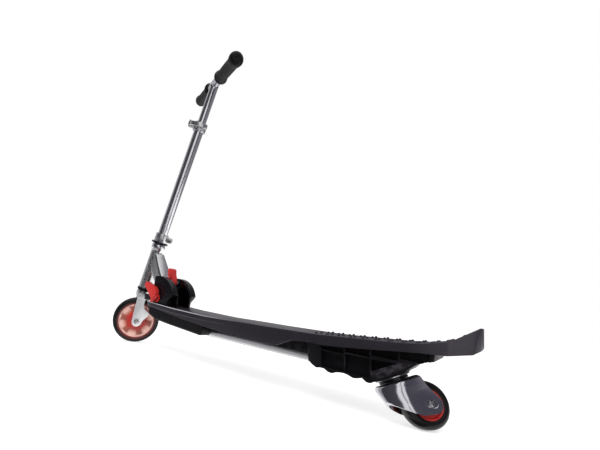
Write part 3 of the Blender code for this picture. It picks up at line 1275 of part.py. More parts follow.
def caster_fork(kingpin, caster, axle):
    """Race, bearing and kingpin, and the pressed hood whose legs carry the wheel."""
    ring("caster_race", RACE_RADIUS, KINGPIN_RADIUS + FIT, RACE_THICKNESS, 0.0, "brushed_silver", kingpin)
    bearing_bottom = -FIT - SWIVEL_BEARING_THICKNESS
    ring("swivel_bearing", SWIVEL_BEARING_RADIUS, KINGPIN_RADIUS + RUNNING, -FIT, bearing_bottom,
         "dark_steel", caster)
    crown_top = bearing_bottom - FIT
    crown_floor = crown_top - HOOD_WALL
    leg = LEG_HALF_WIDTH
    rear = CASTER_TRAIL + LEG_END_RADIUS + HOOD_REACH
    shoulder = leg + LEG_SHOULDER
    sections = [hood_section(HOOD_RADIUS, h, rear, shoulder) for h in (crown_top, crown_top - HOOD_SHOULDER)]
    sections += [hood_section(r, h, rear, leg) for r, h in (*HOOD_WAIST, (leg, HOOD_LOW))]
    body = hood_loft("caster_fork", sections, "chrome_plate", caster)
    leg_end = (CASTER_TRAIL + LEG_END_OFFSET[0], LEG_END_OFFSET[1] - CASTER_DROP)
    side = [*HOOD_FRONT_EDGE, *arc(*leg_end, LEG_END_RADIUS, 262, 385, 7), *HOOD_REAR_EDGE]
    keep_inside(body, side_flat("hood_side", [side], THROUGH, None, caster))
    inner_rear = rear + HOOD_REACH
    inner_leg = leg - HOOD_WALL
    inner = [hood_section(HOOD_RADIUS - HOOD_WALL, h, inner_rear, leg)
             for h in (crown_floor, crown_floor - HOOD_SHOULDER / 2)]
    inner += [hood_section(r - HOOD_WALL, h, inner_rear, inner_leg)
              for r, h in (*HOOD_WAIST, (leg, HOOD_INSIDE_LOW))]
    cut(body, hood_loft("hood_inside", inner, None, caster))
    cut(body, rod("crown_bore", KINGPIN_RADIUS + RUNNING, THROUGH, crown_floor - BEYOND, None, caster,
                  BOLT_FACETS))
    cut(body, rod("leg_bore", AXLE_RADIUS + FIT, THROUGH, -THROUGH, None, axle, SMALL_FACETS))
    head_top = crown_floor - RUNNING
    profile = [
        (0.0, KINGPIN_TOP), (KINGPIN_RADIUS, KINGPIN_TOP), (KINGPIN_RADIUS, head_top),
        (KINGPIN_HEAD_RADIUS, head_top), (KINGPIN_HEAD_RADIUS, head_top - KINGPIN_HEAD_HEIGHT),
        (0.0, head_top - KINGPIN_HEAD_HEIGHT),
    ]
    turned("kingpin", profile, "brushed_silver", kingpin, BOLT_FACETS, closed=False)
    axle_set("rear", LEG_HALF_WIDTH, axle, REAR_NUT_HEIGHT)
    axle_spacers("rear", LEG_HALF_WIDTH - HOOD_WALL, REAR_WHEEL_WIDTH / 2, axle)


def stand_over_origin(root):
    """Move the whole scooter, so that its box stands centred over the origin."""
    bpy.context.view_layer.update()
    graph = bpy.context.evaluated_depsgraph_get()
    low = [1e9, 1e9, 1e9]
    high = [-1e9, -1e9, -1e9]
    for part in PARTS.objects:
        if part.type != 'MESH':
            continue
        solid = part.evaluated_get(graph)
        for vertex in solid.data.vertices:
            place = solid.matrix_world @ vertex.co
            for k in range(3):
                low[k] = min(low[k], place[k])
                high[k] = max(high[k], place[k])
    root.location = (-(low[0] + high[0]) / 2, -(low[1] + high[1]) / 2, -low[2])
    bpy.context.view_layer.update()
    print("size", [round(high[k] - low[k], 4) for k in range(3)])


def report_joints(axes):
    """Print each joint's place and axis in world coordinates."""
    for name in sorted(axes):
        axis = axes[name]
        if isinstance(axis, float):
            continue
        place = [round(value, 6) for value in axis.matrix_world.translation]
        columns = axis.matrix_world.to_3x3()
        turn = {letter: [round(value, 6) for value in columns.col[k]] for k, letter in enumerate("xyz")}
        print("joint", name, place, turn)


def main():
    """Build every part of the scooter."""
    global PARTS, GUIDES
    clear_scene()
    PARTS = new_collection("caster_scooter")
    GUIDES = new_collection("cutters")
    make_finishes()
    axes = make_axes()
    scooter = axes["scooter"]
    spine = add_axis("spine_axis", scooter, (SPINE_MIDDLE, 0, SPINE_Z), (0, pi / 2, 0))
    deck_board(scooter)
    front_housing(scooter, spine)
    rear_housing(scooter, spine, axes["kingpin"], axes["caster_z"])
    keel(scooter, spine)
    spine_tube(spine)
    saddle_end = folding_hinge(scooter, axes["pivot"])
    axes["cam_lever"] = cam_lever(scooter, saddle_end)
    front_frame(axes["frame"], axes["head"], axes["fold"])
    release_paddle(axes["paddle"])
    front_fork(axes["steer"], axes["front_axle"])
    headset(axes["head"], axes["steer"])
    bolt_axis, bolt_end = column(axes["steer"])
    axes["quick_release"] = quick_release(bolt_axis, bolt_end)
    handlebar(axes["bars"])
    front_wheel(axes["front_axle"])
    caster_fork(axes["kingpin"], axes["caster"], axes["rear_axle"])
    rear_wheel(axes["rear_axle"])
    stand_over_origin(scooter)
    report_joints(axes)


main()
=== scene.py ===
"""Looks of the caster scooter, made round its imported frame.

Units are metres, +Z is up, the front of the scooter points along -X and its
left side along -Y. Every finished piece sits at the origin with its place in
its mesh, and rides on the body that carries it.
"""

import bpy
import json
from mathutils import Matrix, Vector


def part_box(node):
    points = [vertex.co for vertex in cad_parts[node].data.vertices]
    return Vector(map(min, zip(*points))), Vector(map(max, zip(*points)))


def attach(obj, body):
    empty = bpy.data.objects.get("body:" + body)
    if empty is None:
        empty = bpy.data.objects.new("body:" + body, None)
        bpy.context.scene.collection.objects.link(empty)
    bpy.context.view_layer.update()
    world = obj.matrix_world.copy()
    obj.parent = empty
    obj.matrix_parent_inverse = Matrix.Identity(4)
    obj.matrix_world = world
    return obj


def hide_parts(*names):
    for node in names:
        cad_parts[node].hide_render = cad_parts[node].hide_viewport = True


bl_info = {
    "name": "Caster scooter looks",
    "version": (1, 0, 0),
    "blender": (4, 5, 0),
    "location": "View3D > Sidebar > Scooter",
    "description": "Finishes, wheels, tubes, mouldings and stage of a folding caster scooter",
    "category": "Object",
}

import json
from math import cos, pi, radians, sin, sqrt

import bmesh
import bpy
from mathutils import Matrix, Vector
from mathutils.bvhtree import BVHTree

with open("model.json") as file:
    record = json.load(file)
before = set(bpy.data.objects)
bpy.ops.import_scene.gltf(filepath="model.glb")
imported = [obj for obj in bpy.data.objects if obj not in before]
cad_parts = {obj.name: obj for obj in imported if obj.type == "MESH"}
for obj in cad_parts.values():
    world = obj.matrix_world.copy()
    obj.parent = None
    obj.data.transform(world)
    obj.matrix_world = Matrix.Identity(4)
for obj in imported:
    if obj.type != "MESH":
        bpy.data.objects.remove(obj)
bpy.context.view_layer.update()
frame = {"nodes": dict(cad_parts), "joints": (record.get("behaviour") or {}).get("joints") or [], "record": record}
JOINTS = {joint["name"]: joint for joint in frame["joints"]}
BODY_OF = {node: body for body, nodes in frame["record"]["behaviour"]["bodies"].items() for node in nodes}


def axis_of(joint):
    """Direction of a joint's axis at rest."""
    return Vector(JOINTS[joint]["axis"]).normalized()


def point_of(joint):
    """A point on a joint's axis at rest."""
    return Vector(JOINTS[joint]["pos_m"])


def basis(origin, z_axis, y_axis):
    """A placing matrix from an origin, its Z direction and roughly its Y direction."""
    z = z_axis.normalized()
    x = y_axis.cross(z).normalized()
    y = z.cross(x)
    place = Matrix((x, y, z)).transposed().to_4x4()
    place.translation = origin
    return place


def on_joint(joint, y_axis):
    """A placing matrix on a joint, with Z along its axis."""
    return basis(point_of(joint), axis_of(joint), y_axis)


# Places taken from the frame's joints
ALONG = Vector((1, 0, 0))
ACROSS = Vector((0, 1, 0))
HEAD = on_joint("steer", ACROSS)
STEERING = on_joint("steer", -axis_of("front_wheel_spin"))
FRONT_AXLE = on_joint("front_wheel_spin", axis_of("steer"))
CASTER = on_joint("caster_swivel", -axis_of("rear_wheel_spin"))
REAR_AXLE = on_joint("rear_wheel_spin", axis_of("caster_swivel"))
PIVOT = basis(point_of("fold"), -ACROSS, Vector((0, 0, 1)))

# Camera, from its fit to the wheels, the column and the deck
CAMERA_PLACE = (0.43368, -0.69518, 0.17628)
CAMERA_HEADING = radians(37.074)
CAMERA_PITCH = radians(5.905)
CAMERA_ROLL = radians(8.228)
CAMERA_LENS = 22.2
CAMERA_SENSOR = 36.0
CAMERA_SHIFT = (0.1233, 0.045)
CAMERA_NEAR = 0.01

# Lamps as name, place, target and size, and the floor
LAMPS = (
    ("key_lamp", (0.9, -1.7, 2.1), (0, 0, 0.2), 1.6), ("fill_lamp", (-1.9, -0.9, 1.3), (-0.2, 0, 0.3), 1.4),
)
FLOOR_SIZE = 12.0
FLOOR_TONE = (0.86, 0.86, 0.86)
FLOOR_LIFT = 0.58

# Screens round the stage, as degrees from +X and tones
SCREEN_PALE = (0.45, 0.44, 0.46)
SCREEN_WHITE = (1.0, 1.0, 1.0)
SCREEN_SLIT = (0.06, 0.06, 0.07)
SCREEN_DIM = (0.078, 0.074, 0.095)
SCREENS = (
    (-179, SCREEN_PALE), (-147, SCREEN_PALE), (-143, (0.050, 0.048, 0.053)), (-69, (0.075, 0.072, 0.084)),
    (-64, SCREEN_WHITE), (-49.5, SCREEN_WHITE), (-47.5, SCREEN_SLIT), (-44.5, SCREEN_SLIT),
    (-42.5, SCREEN_WHITE), (-32, SCREEN_WHITE), (-28, SCREEN_DIM), (-3, SCREEN_DIM),
    (4, (0.20, 0.185, 0.215)), (106, (0.22, 0.205, 0.235)), (112, SCREEN_PALE), (179, SCREEN_PALE),
)
SURROUND_RADIUS = 2.2
SURROUND_HEIGHTS = (0.0, 2.4)
SURROUND_STEPS = 72

# A flat screen just over the floor, fanned out round the caster, with its ends in degrees
FAN_MIDDLE = (0.295, 0.0, 0.0)
FAN_ENDS = (-176, -4)
FAN_REACH = (0.02, 2.0)
FAN_HEIGHT = 0.004
FAN_STEPS = 48

# Gap between pieces that fit into each other
FIT_GAP = 0.0003

# Front wheel, and its core's face: dish, rim, spokes and the edges of boss, rim and pockets
FRONT_TYRE_RADIUS = 0.0625
FRONT_CORE_RADIUS = 0.053
FRONT_HALF_WIDTH = 0.012
FRONT_SHOULDER = 0.0089
FRONT_BOSS_RADIUS = 0.0205
FRONT_RIM_WIDTH = 0.0065
FRONT_LOBES = 6
CORE_DISH = 0.003
CORE_RIM_RISE = 0.002
CORE_BOSS_EDGE = (-0.001, 0.0015)
CORE_RIM_EDGE = (0.0005, -0.0015)
CORE_ROWS = 46
CORE_TURNS = 180
SPOKE_HALF_WIDTH = 0.0042
SPOKE_SLOPE = (-0.05, 0.03)
POCKET_START = (0.0235, 0.0265)
POCKET_END = (-0.0035, -0.0005)

# Colours over the front core, as the radii between which they change, and its lobes' unevenness; the cream lobes,
# their bright arc and their emission are painted light shining through the clear core
LOBE_WAVE = (-0.9, 0.55)
LOBE_WINDOW = ((0.0225, 0.034), (0.0480, 0.0455))
LOBE_ARC = ((0.0405, 0.0440), (0.0480, 0.0455))
LOBE_ARC_LIGHT = 0.85
LOBE_STREAKS = (0.2, 0.8, 0.86, 1.0)
LOBE_CREAM = (0.026, 0.043)
PAINTED_LOBE_GLOW = 0.10
WEDGE_BAND = (0.021, 0.036)
RING_BAND = (0.0455, 0.0485)
RIM_BAND = (0.0485, 0.0525)

# Unevenness of colour and gloss: how much finer its second noise is, shares and gain
MOTTLE_FINER = 7.0
MOTTLE_SHARES = (0.65, 0.35)
MOTTLE_GAIN = 4.0

# Drawn lines: which of them are streaks, and their share and tone
STREAK_RANGE = (0.35, 0.7)
STREAK_SHARE = 0.10
STREAK_TONE = 0.72

# Rubbed edges: how sharp they are, the noise that breaks them, and their lighter tone
WEAR_SHARPNESS = (0.51, 0.60)
WEAR_BREAKS = (0.35, 0.65)
WEAR_GAIN = 1.6
WEAR_LIFT = 0.012

# Clear coats
COAT_ROUGHNESS = 0.06

# Rear wheel, with its hub's section as radius and depth below its side
REAR_TYRE_RADIUS = 0.038
REAR_HUB_RADIUS = 0.0247
REAR_HALF_WIDTH = 0.0145
REAR_SHOULDER = 0.010
HUB_SECTION = (
    (0.0113, 0.0004), (0.0119, 0.0), (0.0137, 0.0), (0.0147, 0.0008), (0.0155, 0.0038), (0.0205, 0.0040),
    (0.0217, 0.0030), (0.0223, 0.0008), (0.0241, 0.0004), (0.0247, 0.0012),
)

# Both tyres: edge at the core, turn of the shoulders, and the moulding line's half width and height
TYRE_EDGE = 0.0004
SHOULDER_TURN = (82, 4)
SHOULDER_STEPS = 12
TYRE_LINE = (0.0006, 0.00008)

# Bearings, with their section as radius and depth below the outer face, and the axle
BEARING_RADIUS = 0.011
BEARING_INSET = 0.0005
BEARING_SECTION = (
    (0.0043, 0.0003), (0.0046, 0.0), (0.0065, 0.0), (0.0065, 0.0006), (0.0069, 0.0008), (0.0088, 0.0008),
    (0.0092, 0.0006), (0.0092, 0.0), (0.0107, 0.0), (0.0110, 0.0003), (0.0110, 0.0067), (0.0107, 0.0070),
    (0.0046, 0.0070), (0.0043, 0.0067),
)
AXLE_RADIUS = 0.004

# Column, bars and grips, as heights along the steering axis
COLUMN_RADIUS = 0.013
COLUMN_WALL = 0.0016
COLUMN_BOTTOM = 0.2263
COLUMN_TOP = 0.563
SLOT_HEIGHT = 0.265
SLOT_HALF_WIDTH = 0.002
SLOT_HALF_LENGTH = 0.0025
SLOT_DEPTHS = (0.008, 0.02)
SLOT_TURN = -162
BAR_RADIUS = 0.0111
BAR_WALL = 0.0015
BAR_HEIGHT = 0.677
BAR_HALF_LENGTH = 0.1945
STEM_BOTTOM = 0.385
STEM_BORE_TOP = BAR_HEIGHT - 0.012
BARS = STEERING @ Matrix.Translation((0, 0, BAR_HEIGHT)) @ Matrix.Rotation(pi / 2, 4, 'X')

# The weld under the cross bar, as distance from the stem's surface and from the bar's middle
WELD_SECTION = (
    (-0.003, -0.0065), (0.0011, -0.0090), (0.0011, -0.0105), (-0.001, -0.0125), (-0.003, -0.0125),
)

# Grip: its end as radius and depth below the end, its flange as radius and height over its start
GRIP_START = 0.055
GRIP_END = 0.2005
GRIP_RADIUS = 0.0140
GRIP_END_SECTION = (
    (0.0, 0.0012), (0.0034, 0.0012), (0.0042, 0.0010), (0.0050, 0.0002), (0.0062, 0.0), (0.0085, 0.0003),
    (0.0110, 0.0013), (0.0135, 0.0034), (0.0154, 0.0062), (0.0165, 0.0095), (0.0168, 0.0130),
    (0.0165, 0.0170), (0.0157, 0.0215), (0.0147, 0.0260), (0.0140, 0.0310),
)
GRIP_FLANGE_SECTION = (
    (0.0140, 0.0105), (0.0150, 0.0075), (0.0164, 0.0050), (0.0172, 0.0035), (0.0172, 0.0014),
    (0.0164, 0.0003), (0.0156, 0.0), (0.0114, 0.0),
)
GRIP_RIBS = 15
GRIP_RIB_ENDS = (GRIP_START + 0.016, GRIP_END - 0.036)
GRIP_RIB_SECTION = ((0.0, 0.96), (-0.00035, 0.82), (-0.00035, 0.70), (0.0, 0.56))
GRIP_SEAT = BAR_HALF_LENGTH + 0.0003

# Headset: node, place, finish and section as radius and height
STEERER_RADIUS = 0.011
STEERER_SECTION = ((0.0, 0.275), (0.0104, 0.275), (0.0110, 0.2744), (0.0110, 0.0803), (0.0, 0.0803))
HEADSET = (
    ("lower_cup", HEAD, "dark", (
        (0.0116, 0.0932), (0.0150, 0.0932), (0.0169, 0.0920), (0.0172, 0.0912), (0.0172, 0.0872),
        (0.0164, 0.0863), (0.0116, 0.0863))),
    ("crown_race", STEERING, "steel", (
        (0.0113, 0.0858), (0.0138, 0.0858), (0.0150, 0.0846), (0.0150, 0.0812), (0.0142, 0.0804),
        (0.0113, 0.0804))),
    ("upper_cup", HEAD, "tube", (
        (0.0116, 0.2120), (0.0175, 0.2120), (0.0180, 0.2115), (0.0180, 0.2075), (0.0174, 0.2066),
        (0.0158, 0.2035), (0.0152, 0.2022), (0.0152, 0.1986), (0.0148, 0.1983), (0.0116, 0.1983))),
    ("upper_race", STEERING, "tube", (
        (0.0113, 0.2212), (0.0156, 0.2212), (0.0162, 0.2208), (0.0180, 0.2158), (0.0182, 0.2148),
        (0.0182, 0.2127), (0.0178, 0.2123), (0.0113, 0.2123))),
    ("headset_flange", STEERING, "dark", (
        (0.0113, 0.2260), (0.0205, 0.2260), (0.0220, 0.2254), (0.0225, 0.2243), (0.0225, 0.2226),
        (0.0219, 0.2217), (0.0205, 0.2215), (0.0113, 0.2215))),
)

# Head tube, as radius and height, with the bore for the steerer
HEAD_SECTION = (
    (0.0, 0.1980), (0.0144, 0.1980), (0.0150, 0.1974), (0.0150, 0.0941), (0.0144, 0.0935), (0.0, 0.0935),
)
HEAD_BORE = (STEERER_RADIUS + 0.0005, 0.21, 0.08)

# The board's own frame, in which its side lines are given, as X and Z
BOARD = Matrix.Translation(point_of("fold") - Vector((0.126, 0.0, 0.134)))
BOARD_TOP = ((0.086, 0.1226), (0.200, 0.1176), (0.300, 0.1160), (0.420, 0.1190))
BOARD_ROUND = 0.0005
STUD_SIDES = 6
STUD_TOP_AREA = (0.8e-5, 1.3e-5)
STUD_RISE = 0.0034

# Bead along the board's upper edge by half width, a light grey painted highlight, a finer crease bead below it by
# depth, a painted sheen, and fades by X: a painted shadow that darkens both rearwards, and a painted sheen that
# lightens the board's tail
LIP_ENDS = (0.0925, 0.470)
LIP_PLAN = ((0.086, 0.0395), (0.110, 0.0505), (0.260, 0.0606), (0.440, 0.0646), (0.500, 0.0647))
LIP_INSET = 0.0008
LIP_RADIUS = 0.0013
CREASE_ENDS = (0.0960, 0.400)
CREASE_DROP = ((0.0925, 0.0088), (0.130, 0.0094), (0.200, 0.0105), (0.420, 0.0105))
CREASE_INSET = 0.0003
CREASE_RADIUS = 0.0010
LINE_STEPS = 60
BEYOND_BOARD = 0.2
LIP_SHADOW_FADE = (0.210, 0.420)
TAIL_SHEEN_FADE = (0.690, 0.760)

# Hull under the nose: belly line, and half width by height and by length
HULL_ENDS = (0.0912, 0.286)
HULL_BELLY = (
    (0.0905, 0.1035), (0.106, 0.0910), (0.138, 0.0810), (0.181, 0.0765), (0.230, 0.0725), (0.277, 0.0685),
    (0.310, 0.0685),
)
HULL_FLANK = ((0.036, 0.0375), (0.066, 0.0415), (0.108, 0.0570), (0.160, 0.0590))
HULL_PLAN = ((0.0897, 0.0363), (0.110, 0.0473), (0.260, 0.0573), (0.440, 0.0613))
HULL_BELOW_TOP = 0.0066
HULL_HEEL = 0.015
HULL_KEEL_ROUND = 0.006
HULL_STEPS = 200
HULL_ROWS = 20
HULL_ROW_CROWDING = 1.4

# Faint slanted rib marks on the hull
MARK_PITCH = 0.0425
MARK_START = 0.130
MARK_SLANT = 0.45
MARK_HALF_WIDTH = 0.0018
MARK_DEPTH = 0.0007
MARK_FADE = (0.004, 0.010)

# Thumb paddle behind the down tube, in the board's frame: pin, tongue, and the ears that hold it
PADDLE_PIN = (0.1290, 0.1765)
PADDLE_BARREL = 0.0052
PADDLE_HALF_WIDTH = 0.0105
PADDLE_ROUND = 0.0028
PADDLE_TONGUE = [
    (0.1342, 0.1765), (0.1335, 0.184), (0.1310, 0.191), (0.1268, 0.200), (0.1262, 0.2085), (0.1225, 0.2135),
    (0.1165, 0.2125), (0.1145, 0.207), (0.1150, 0.200), (0.1195, 0.191), (0.1240, 0.184), (0.1238, 0.1765),
]
EAR_RADIUS = 0.0055
EAR_ROOT = [(0.1010, 0.1680), (0.0975, 0.1890)]
EAR_SPANS = ((0.0112, 0.0168), (-0.0168, -0.0112))
EAR_ROUND = 0.0012

# Down tube in the board's frame: side outline, and half width by height
DOWN_TUBE = [
    (0.0590, 0.2505), (0.0665, 0.2500), (0.0722, 0.2397), (0.0860, 0.2170), (0.1290, 0.1480),
    (0.1375, 0.1360), (0.1345, 0.1260), (0.1260, 0.1225), (0.1185, 0.1250), (0.1145, 0.1340),
    (0.1010, 0.1480), (0.0650, 0.1880), (0.0540, 0.2120), (0.0536, 0.2300), (0.0550, 0.2450),
]
DOWN_TUBE_HALF = (
    (0.12, 0.0193), (0.170, 0.0190), (0.217, 0.0184), (0.230, 0.0178), (0.240, 0.0160), (0.251, 0.0140),
)
DOWN_TUBE_ROUND = 0.0045

# Black cover round the down tube's knuckle: arc over the pivot, top, half width and rounding
KNUCKLE_ARC = (0.126, 0.134, 0.0128, -160, 25, 14)
KNUCKLE_TOP = [
    (0.1385, 0.1410), (0.1280, 0.1570), (0.1225, 0.1610), (0.0875, 0.1610), (0.0985, 0.1490),
    (0.1120, 0.1330),
]
KNUCKLE_HALF = ((0.10, 0.0198), (0.20, 0.0198))
KNUCKLE_ROUND = 0.002

# Caster hood, from the kingpin: crown, sections as height, radius and half width, and side edges
HOOD_TOP = -0.0047
HOOD_CROWN = 0.0048
HOOD_CROWN_SIDE = 0.6
HOOD_INNER_TUCK = (0.003, 0.002)
HOOD_RADIUS = 0.0352
HOOD_SHOULDER = 0.0292
HOOD_WALL = 0.0026
HOOD_REAR = 0.060
HOOD_INNER_REAR = 0.090
HOOD_ROUND = 0.0008
HOOD_SECTIONS = (
    (-0.014, 0.0348, 0.0288), (-0.021, 0.0326, 0.0278), (-0.029, 0.0298, 0.0266), (-0.038, 0.0274, 0.0260),
    (-0.050, 0.0260, 0.0260), (-0.085, 0.0260, 0.0260),
)
HOOD_FRONT_EDGE = [
    (-0.0500, 0.0100), (-0.0500, -0.0250), (-0.0360, -0.0270), (-0.0290, -0.0330), (-0.0220, -0.0405),
    (-0.0135, -0.0485), (-0.0030, -0.0570), (0.0100, -0.0648),
]
HOOD_LEG_ARC = (0.033, -0.054, 0.0145, 262, 385, 18)
HOOD_REAR_EDGE = [
    (0.0410, -0.0375), (0.0350, -0.0270), (0.0310, -0.0165), (0.0296, -0.0110), (0.0275, -0.0075),
    (0.0240, -0.0052), (0.0200, -0.0046), (0.0200, 0.0100),
]
HOOD_BORES = ((0.0055, 0.01, -0.012, CASTER), (AXLE_RADIUS + 0.0002, 0.05, -0.05, REAR_AXLE))

# Hinge covers in the board's frame: quarter round, rear edge, groove and bore
COVER_MIDDLE = (0.122, 0.133)
COVER_ARC = (*COVER_MIDDLE, 0.057, 105.8, 16, 40)
COVER_FRONT = 0.1065
COVER_OVER_BOARD = 0.0002
COVER_ROUND = 0.0046
COVER_REAR = [(0.1730, 0.1430), (0.1635, 0.1315), (0.1625, 0.1196)]
GROOVE_ARCS = ((*COVER_MIDDLE, 0.0375, 30, 84, 20), (*COVER_MIDDLE, 0.0350, 84, 30, 20))
GROOVE_DEPTH = 0.001
COVER_BORE = 0.0052

# The open cell of the rear housing over the caster's seat, and how far in it reaches
SEAT_CELL = [(0.6492, 0.0810), (0.6884, 0.1030), (0.6884, 0.1034), (0.6492, 0.1002)]
SEAT_CELL_SPANS = ((-0.08, -0.0335), (0.0335, 0.08))

# How far the spine tube sits below its solid, and its wall
SPINE_DROP = 0.0045
SPINE_WALL = 0.0018

# CAD nodes that are only rounded: finish, rounding (None for the panel's) and nodes
PLATES = (
    ("leg", None, ("fork",)),
    # The hinge bracket's blackened finish also stands in for the deep shade between its plates, a painted shade.
    ("dark", 0.0004, ("hinge_bracket",)),
    ("silver", 0.0004, ("column_clamp", "height_collar")),
    ("silver", 0.0006, ("quick_release_lever",)),
    ("steel", 0.0002, ("column_clamp_bolt", "height_collar_bolt", "front_spacer_left", "front_spacer_right",
                       "rear_spacer_left", "rear_spacer_right")),
    ("steel", 0.0003, ("front_axle_bolt", "front_axle_nut", "rear_axle_bolt", "rear_axle_nut", "pivot_bolt",
                       "kingpin")),
    ("dark", 0.0, ("paddle_pin",)),
    ("steel", 0.0004, ("caster_race",)),
    ("dark", 0.0003, ("swivel_bearing",)),
)
MOULDINGS = (("housing", None, ("keel",)), ("red", 0.0010, ("cam_lever",)), ("red", 0.0004, ("cam_saddle",)))

# How far a cutter reaches past its piece, and half the length of one that goes right through
CUT_EXTRA = 0.01
CUT_THROUGH = 0.1

# Points closer than these are one, in made pieces and in CAD nodes, and how flat a face has to be
MERGE_MADE = 0.000001
MERGE_CAD = 0.000002
FLATNESS = radians(0.8)

# Fineness of turned pieces, and the widest ring that counts as a pole
FINE = 96
MEDIUM = 56
COARSE = 24
POLE = 1e-7

# Sockets of the node groups
NUMBER = 'NodeSocketFloat'
COLOUR = 'NodeSocketColor'
VECTOR = 'NodeSocketVector'


def hide_node(piece, *nodes):
    """Let a piece stand for CAD nodes, riding on their body."""
    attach(piece, BODY_OF[nodes[0]])
    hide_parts(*nodes)
    return piece


def linked(name, mesh, material=None):
    """Link a mesh as an object at the origin."""
    made = bpy.data.objects.new(name, mesh)
    bpy.context.scene.collection.objects.link(made)
    if material is not None:
        mesh.materials.clear()
        mesh.materials.append(material)
    return made


def shade(mesh, angle=35):
    """Smooth shading with the sharp corners kept."""
    mesh.shade_smooth()
    mesh.set_sharp_from_angle(angle=radians(angle))


def from_bmesh(name, solid, place, material, angle=35):
    """Close a bmesh into an object whose place is in its mesh."""
    bmesh.ops.remove_doubles(solid, verts=solid.verts, dist=MERGE_MADE)
    bmesh.ops.recalc_face_normals(solid, faces=solid.faces)
    mesh = bpy.data.meshes.new(name)
    solid.to_mesh(mesh)
    solid.free()
    mesh.transform(place)
    shade(mesh, angle)
    return linked(name, mesh, material)


def ring(solid, radius, height, steps):
    """A ring of points round local Z, or one point at a pole."""
    if radius < POLE:
        return [solid.verts.new((0, 0, height))]
    turn = [2 * pi * k / steps for k in range(steps)]
    return [solid.verts.new((radius * cos(a), radius * sin(a), height)) for a in turn]


def bridge(solid, one, other, closed=True):
    """Join two rings or open rows of points by faces, where either ring may be a pole."""
    count = max(len(one), len(other))
    for k in range(count if closed else count - 1):
        j = (k + 1) % count
        corners = (one[k % len(one)], other[k % len(other)], other[j % len(other)], one[j % len(one)])
        solid.faces.new(list(dict.fromkeys(corners)))


def loft(solid, rings):
    """Join rings of points in order and cap both ends."""
    for one, other in zip(rings, rings[1:]):
        bridge(solid, one, other)
    solid.faces.new(rings[0])
    solid.faces.new(list(reversed(rings[-1])))


def lathe(name, profile, place, material, steps=FINE, closed=False, angle=35):
    """Turn (radius, height) points round local Z."""
    solid = bmesh.new()
    rings = [ring(solid, radius, height, steps) for radius, height in profile]
    for one, other in zip(rings, rings[1:] + rings[:1] if closed else rings[1:]):
        bridge(solid, one, other)
    return from_bmesh(name, solid, place, material, angle)


def rod(name, radius, top, bottom, place, material=None, steps=MEDIUM):
    """A solid rod between two heights."""
    return lathe(name, [(0.0, top), (radius, top), (radius, bottom), (0.0, bottom)], place, material, steps)


def tube(name, outer, wall, top, bottom, place, material, edge=0.0005):
    """A tube with softened edges."""
    inner = outer - wall
    profile = [
        (inner, top - edge), (inner + edge, top), (outer - edge, top), (outer, top - edge),
        (outer, bottom + edge), (outer - edge, bottom), (inner + edge, bottom), (inner, bottom + edge),
    ]
    return lathe(name, profile, place, material, closed=True)


def turned_node(node, profile, place, material, steps=FINE, closed=True, angle=35):
    """A turned piece that stands for one CAD node."""
    piece = lathe(node + "_finished", profile, place, MATERIALS[material], steps, closed, angle)
    return hide_node(piece, node)


def curve_points(centre_x, centre_y, radius, start, end, steps):
    """Points along an arc, between two angles in degrees."""
    turn = [radians(start + (end - start) * i / steps) for i in range(steps + 1)]
    return [(centre_x + radius * cos(a), centre_y + radius * sin(a)) for a in turn]


def baked(piece):
    """Turn a piece's modifiers into its plain mesh."""
    bpy.context.view_layer.update()
    graph = bpy.context.evaluated_depsgraph_get()
    mesh = bpy.data.meshes.new_from_object(piece.evaluated_get(graph))
    old = piece.data
    piece.modifiers.clear()
    piece.data = mesh
    bpy.data.meshes.remove(old)
    return piece


def combine(piece, other, operation='DIFFERENCE'):
    """Cut, join or cross a piece with another, which is used up."""
    step = piece.modifiers.new("Combine", 'BOOLEAN')
    step.operation = operation
    step.solver = 'EXACT'
    step.object = other
    baked(piece)
    bpy.data.objects.remove(other)


def merged_copy(node):
    """A welded copy of a CAD node's triangles, with its flat faces made whole."""
    solid = bmesh.new()
    solid.from_mesh(frame["nodes"][node].data)
    bmesh.ops.remove_doubles(solid, verts=solid.verts, dist=MERGE_CAD)
    bmesh.ops.dissolve_limit(
        solid, angle_limit=FLATNESS, verts=solid.verts, edges=solid.edges, delimit=set())
    return solid


def start_piece(node, solid, material):
    """A CAD node's welded copy as a new piece."""
    mesh = bpy.data.meshes.new(node + "_finished")
    solid.to_mesh(mesh)
    solid.free()
    return linked(node + "_finished", mesh, MATERIALS[material])


def softened(piece, width, segments=3, angle=38, smooth=32):
    """Round a piece's corners and shade its round stretches smooth."""
    if width > 0:
        bevel = piece.modifiers.new("Round", 'BEVEL')
        bevel.width = width
        bevel.segments = segments
        bevel.limit_method = 'ANGLE'
        bevel.angle_limit = radians(angle)
        bevel.use_clamp_overlap = True
        bevel.harden_normals = False
        baked(piece)
    shade(piece.data, smooth)
    return piece


def round_nodes(rows, panel_width):
    """CAD nodes with their corners rounded and their round stretches shaded smooth."""
    for material, width, nodes in rows:
        for node in nodes:
            piece = start_piece(node, merged_copy(node), material)
            hide_node(softened(piece, panel_width if width is None else width), node)


def side_solid(name, outline, span_at, place, material):
    """A solid with a side outline in X and Z, and its two places across by height."""
    solid = bmesh.new()
    rows = [[solid.verts.new((x, span_at(z)[side], z)) for x, z in outline] for side in (0, 1)]
    loft(solid, rows)
    return from_bmesh(name, solid, place, material)


def side_plate(name, outline, span, place, material=None):
    """A solid with a side outline and the same two places across everywhere."""
    return side_solid(name, outline, lambda z: span, place, material)


def side_form(name, outline, half_at, place, material):
    """A solid with a side outline, whose half width changes with height."""
    def span_at(z):
        half = height_on(half_at, z)
        return -half, half

    return side_solid(name, outline, span_at, place, material)


def eased(outline):
    """A closed outline with its corners cut once, so that they run more smoothly."""
    following = outline[1:] + outline[:1]
    return [(near * ax + (1 - near) * bx, near * az + (1 - near) * bz)
            for (ax, az), (bx, bz) in zip(outline, following) for near in (0.75, 0.25)]


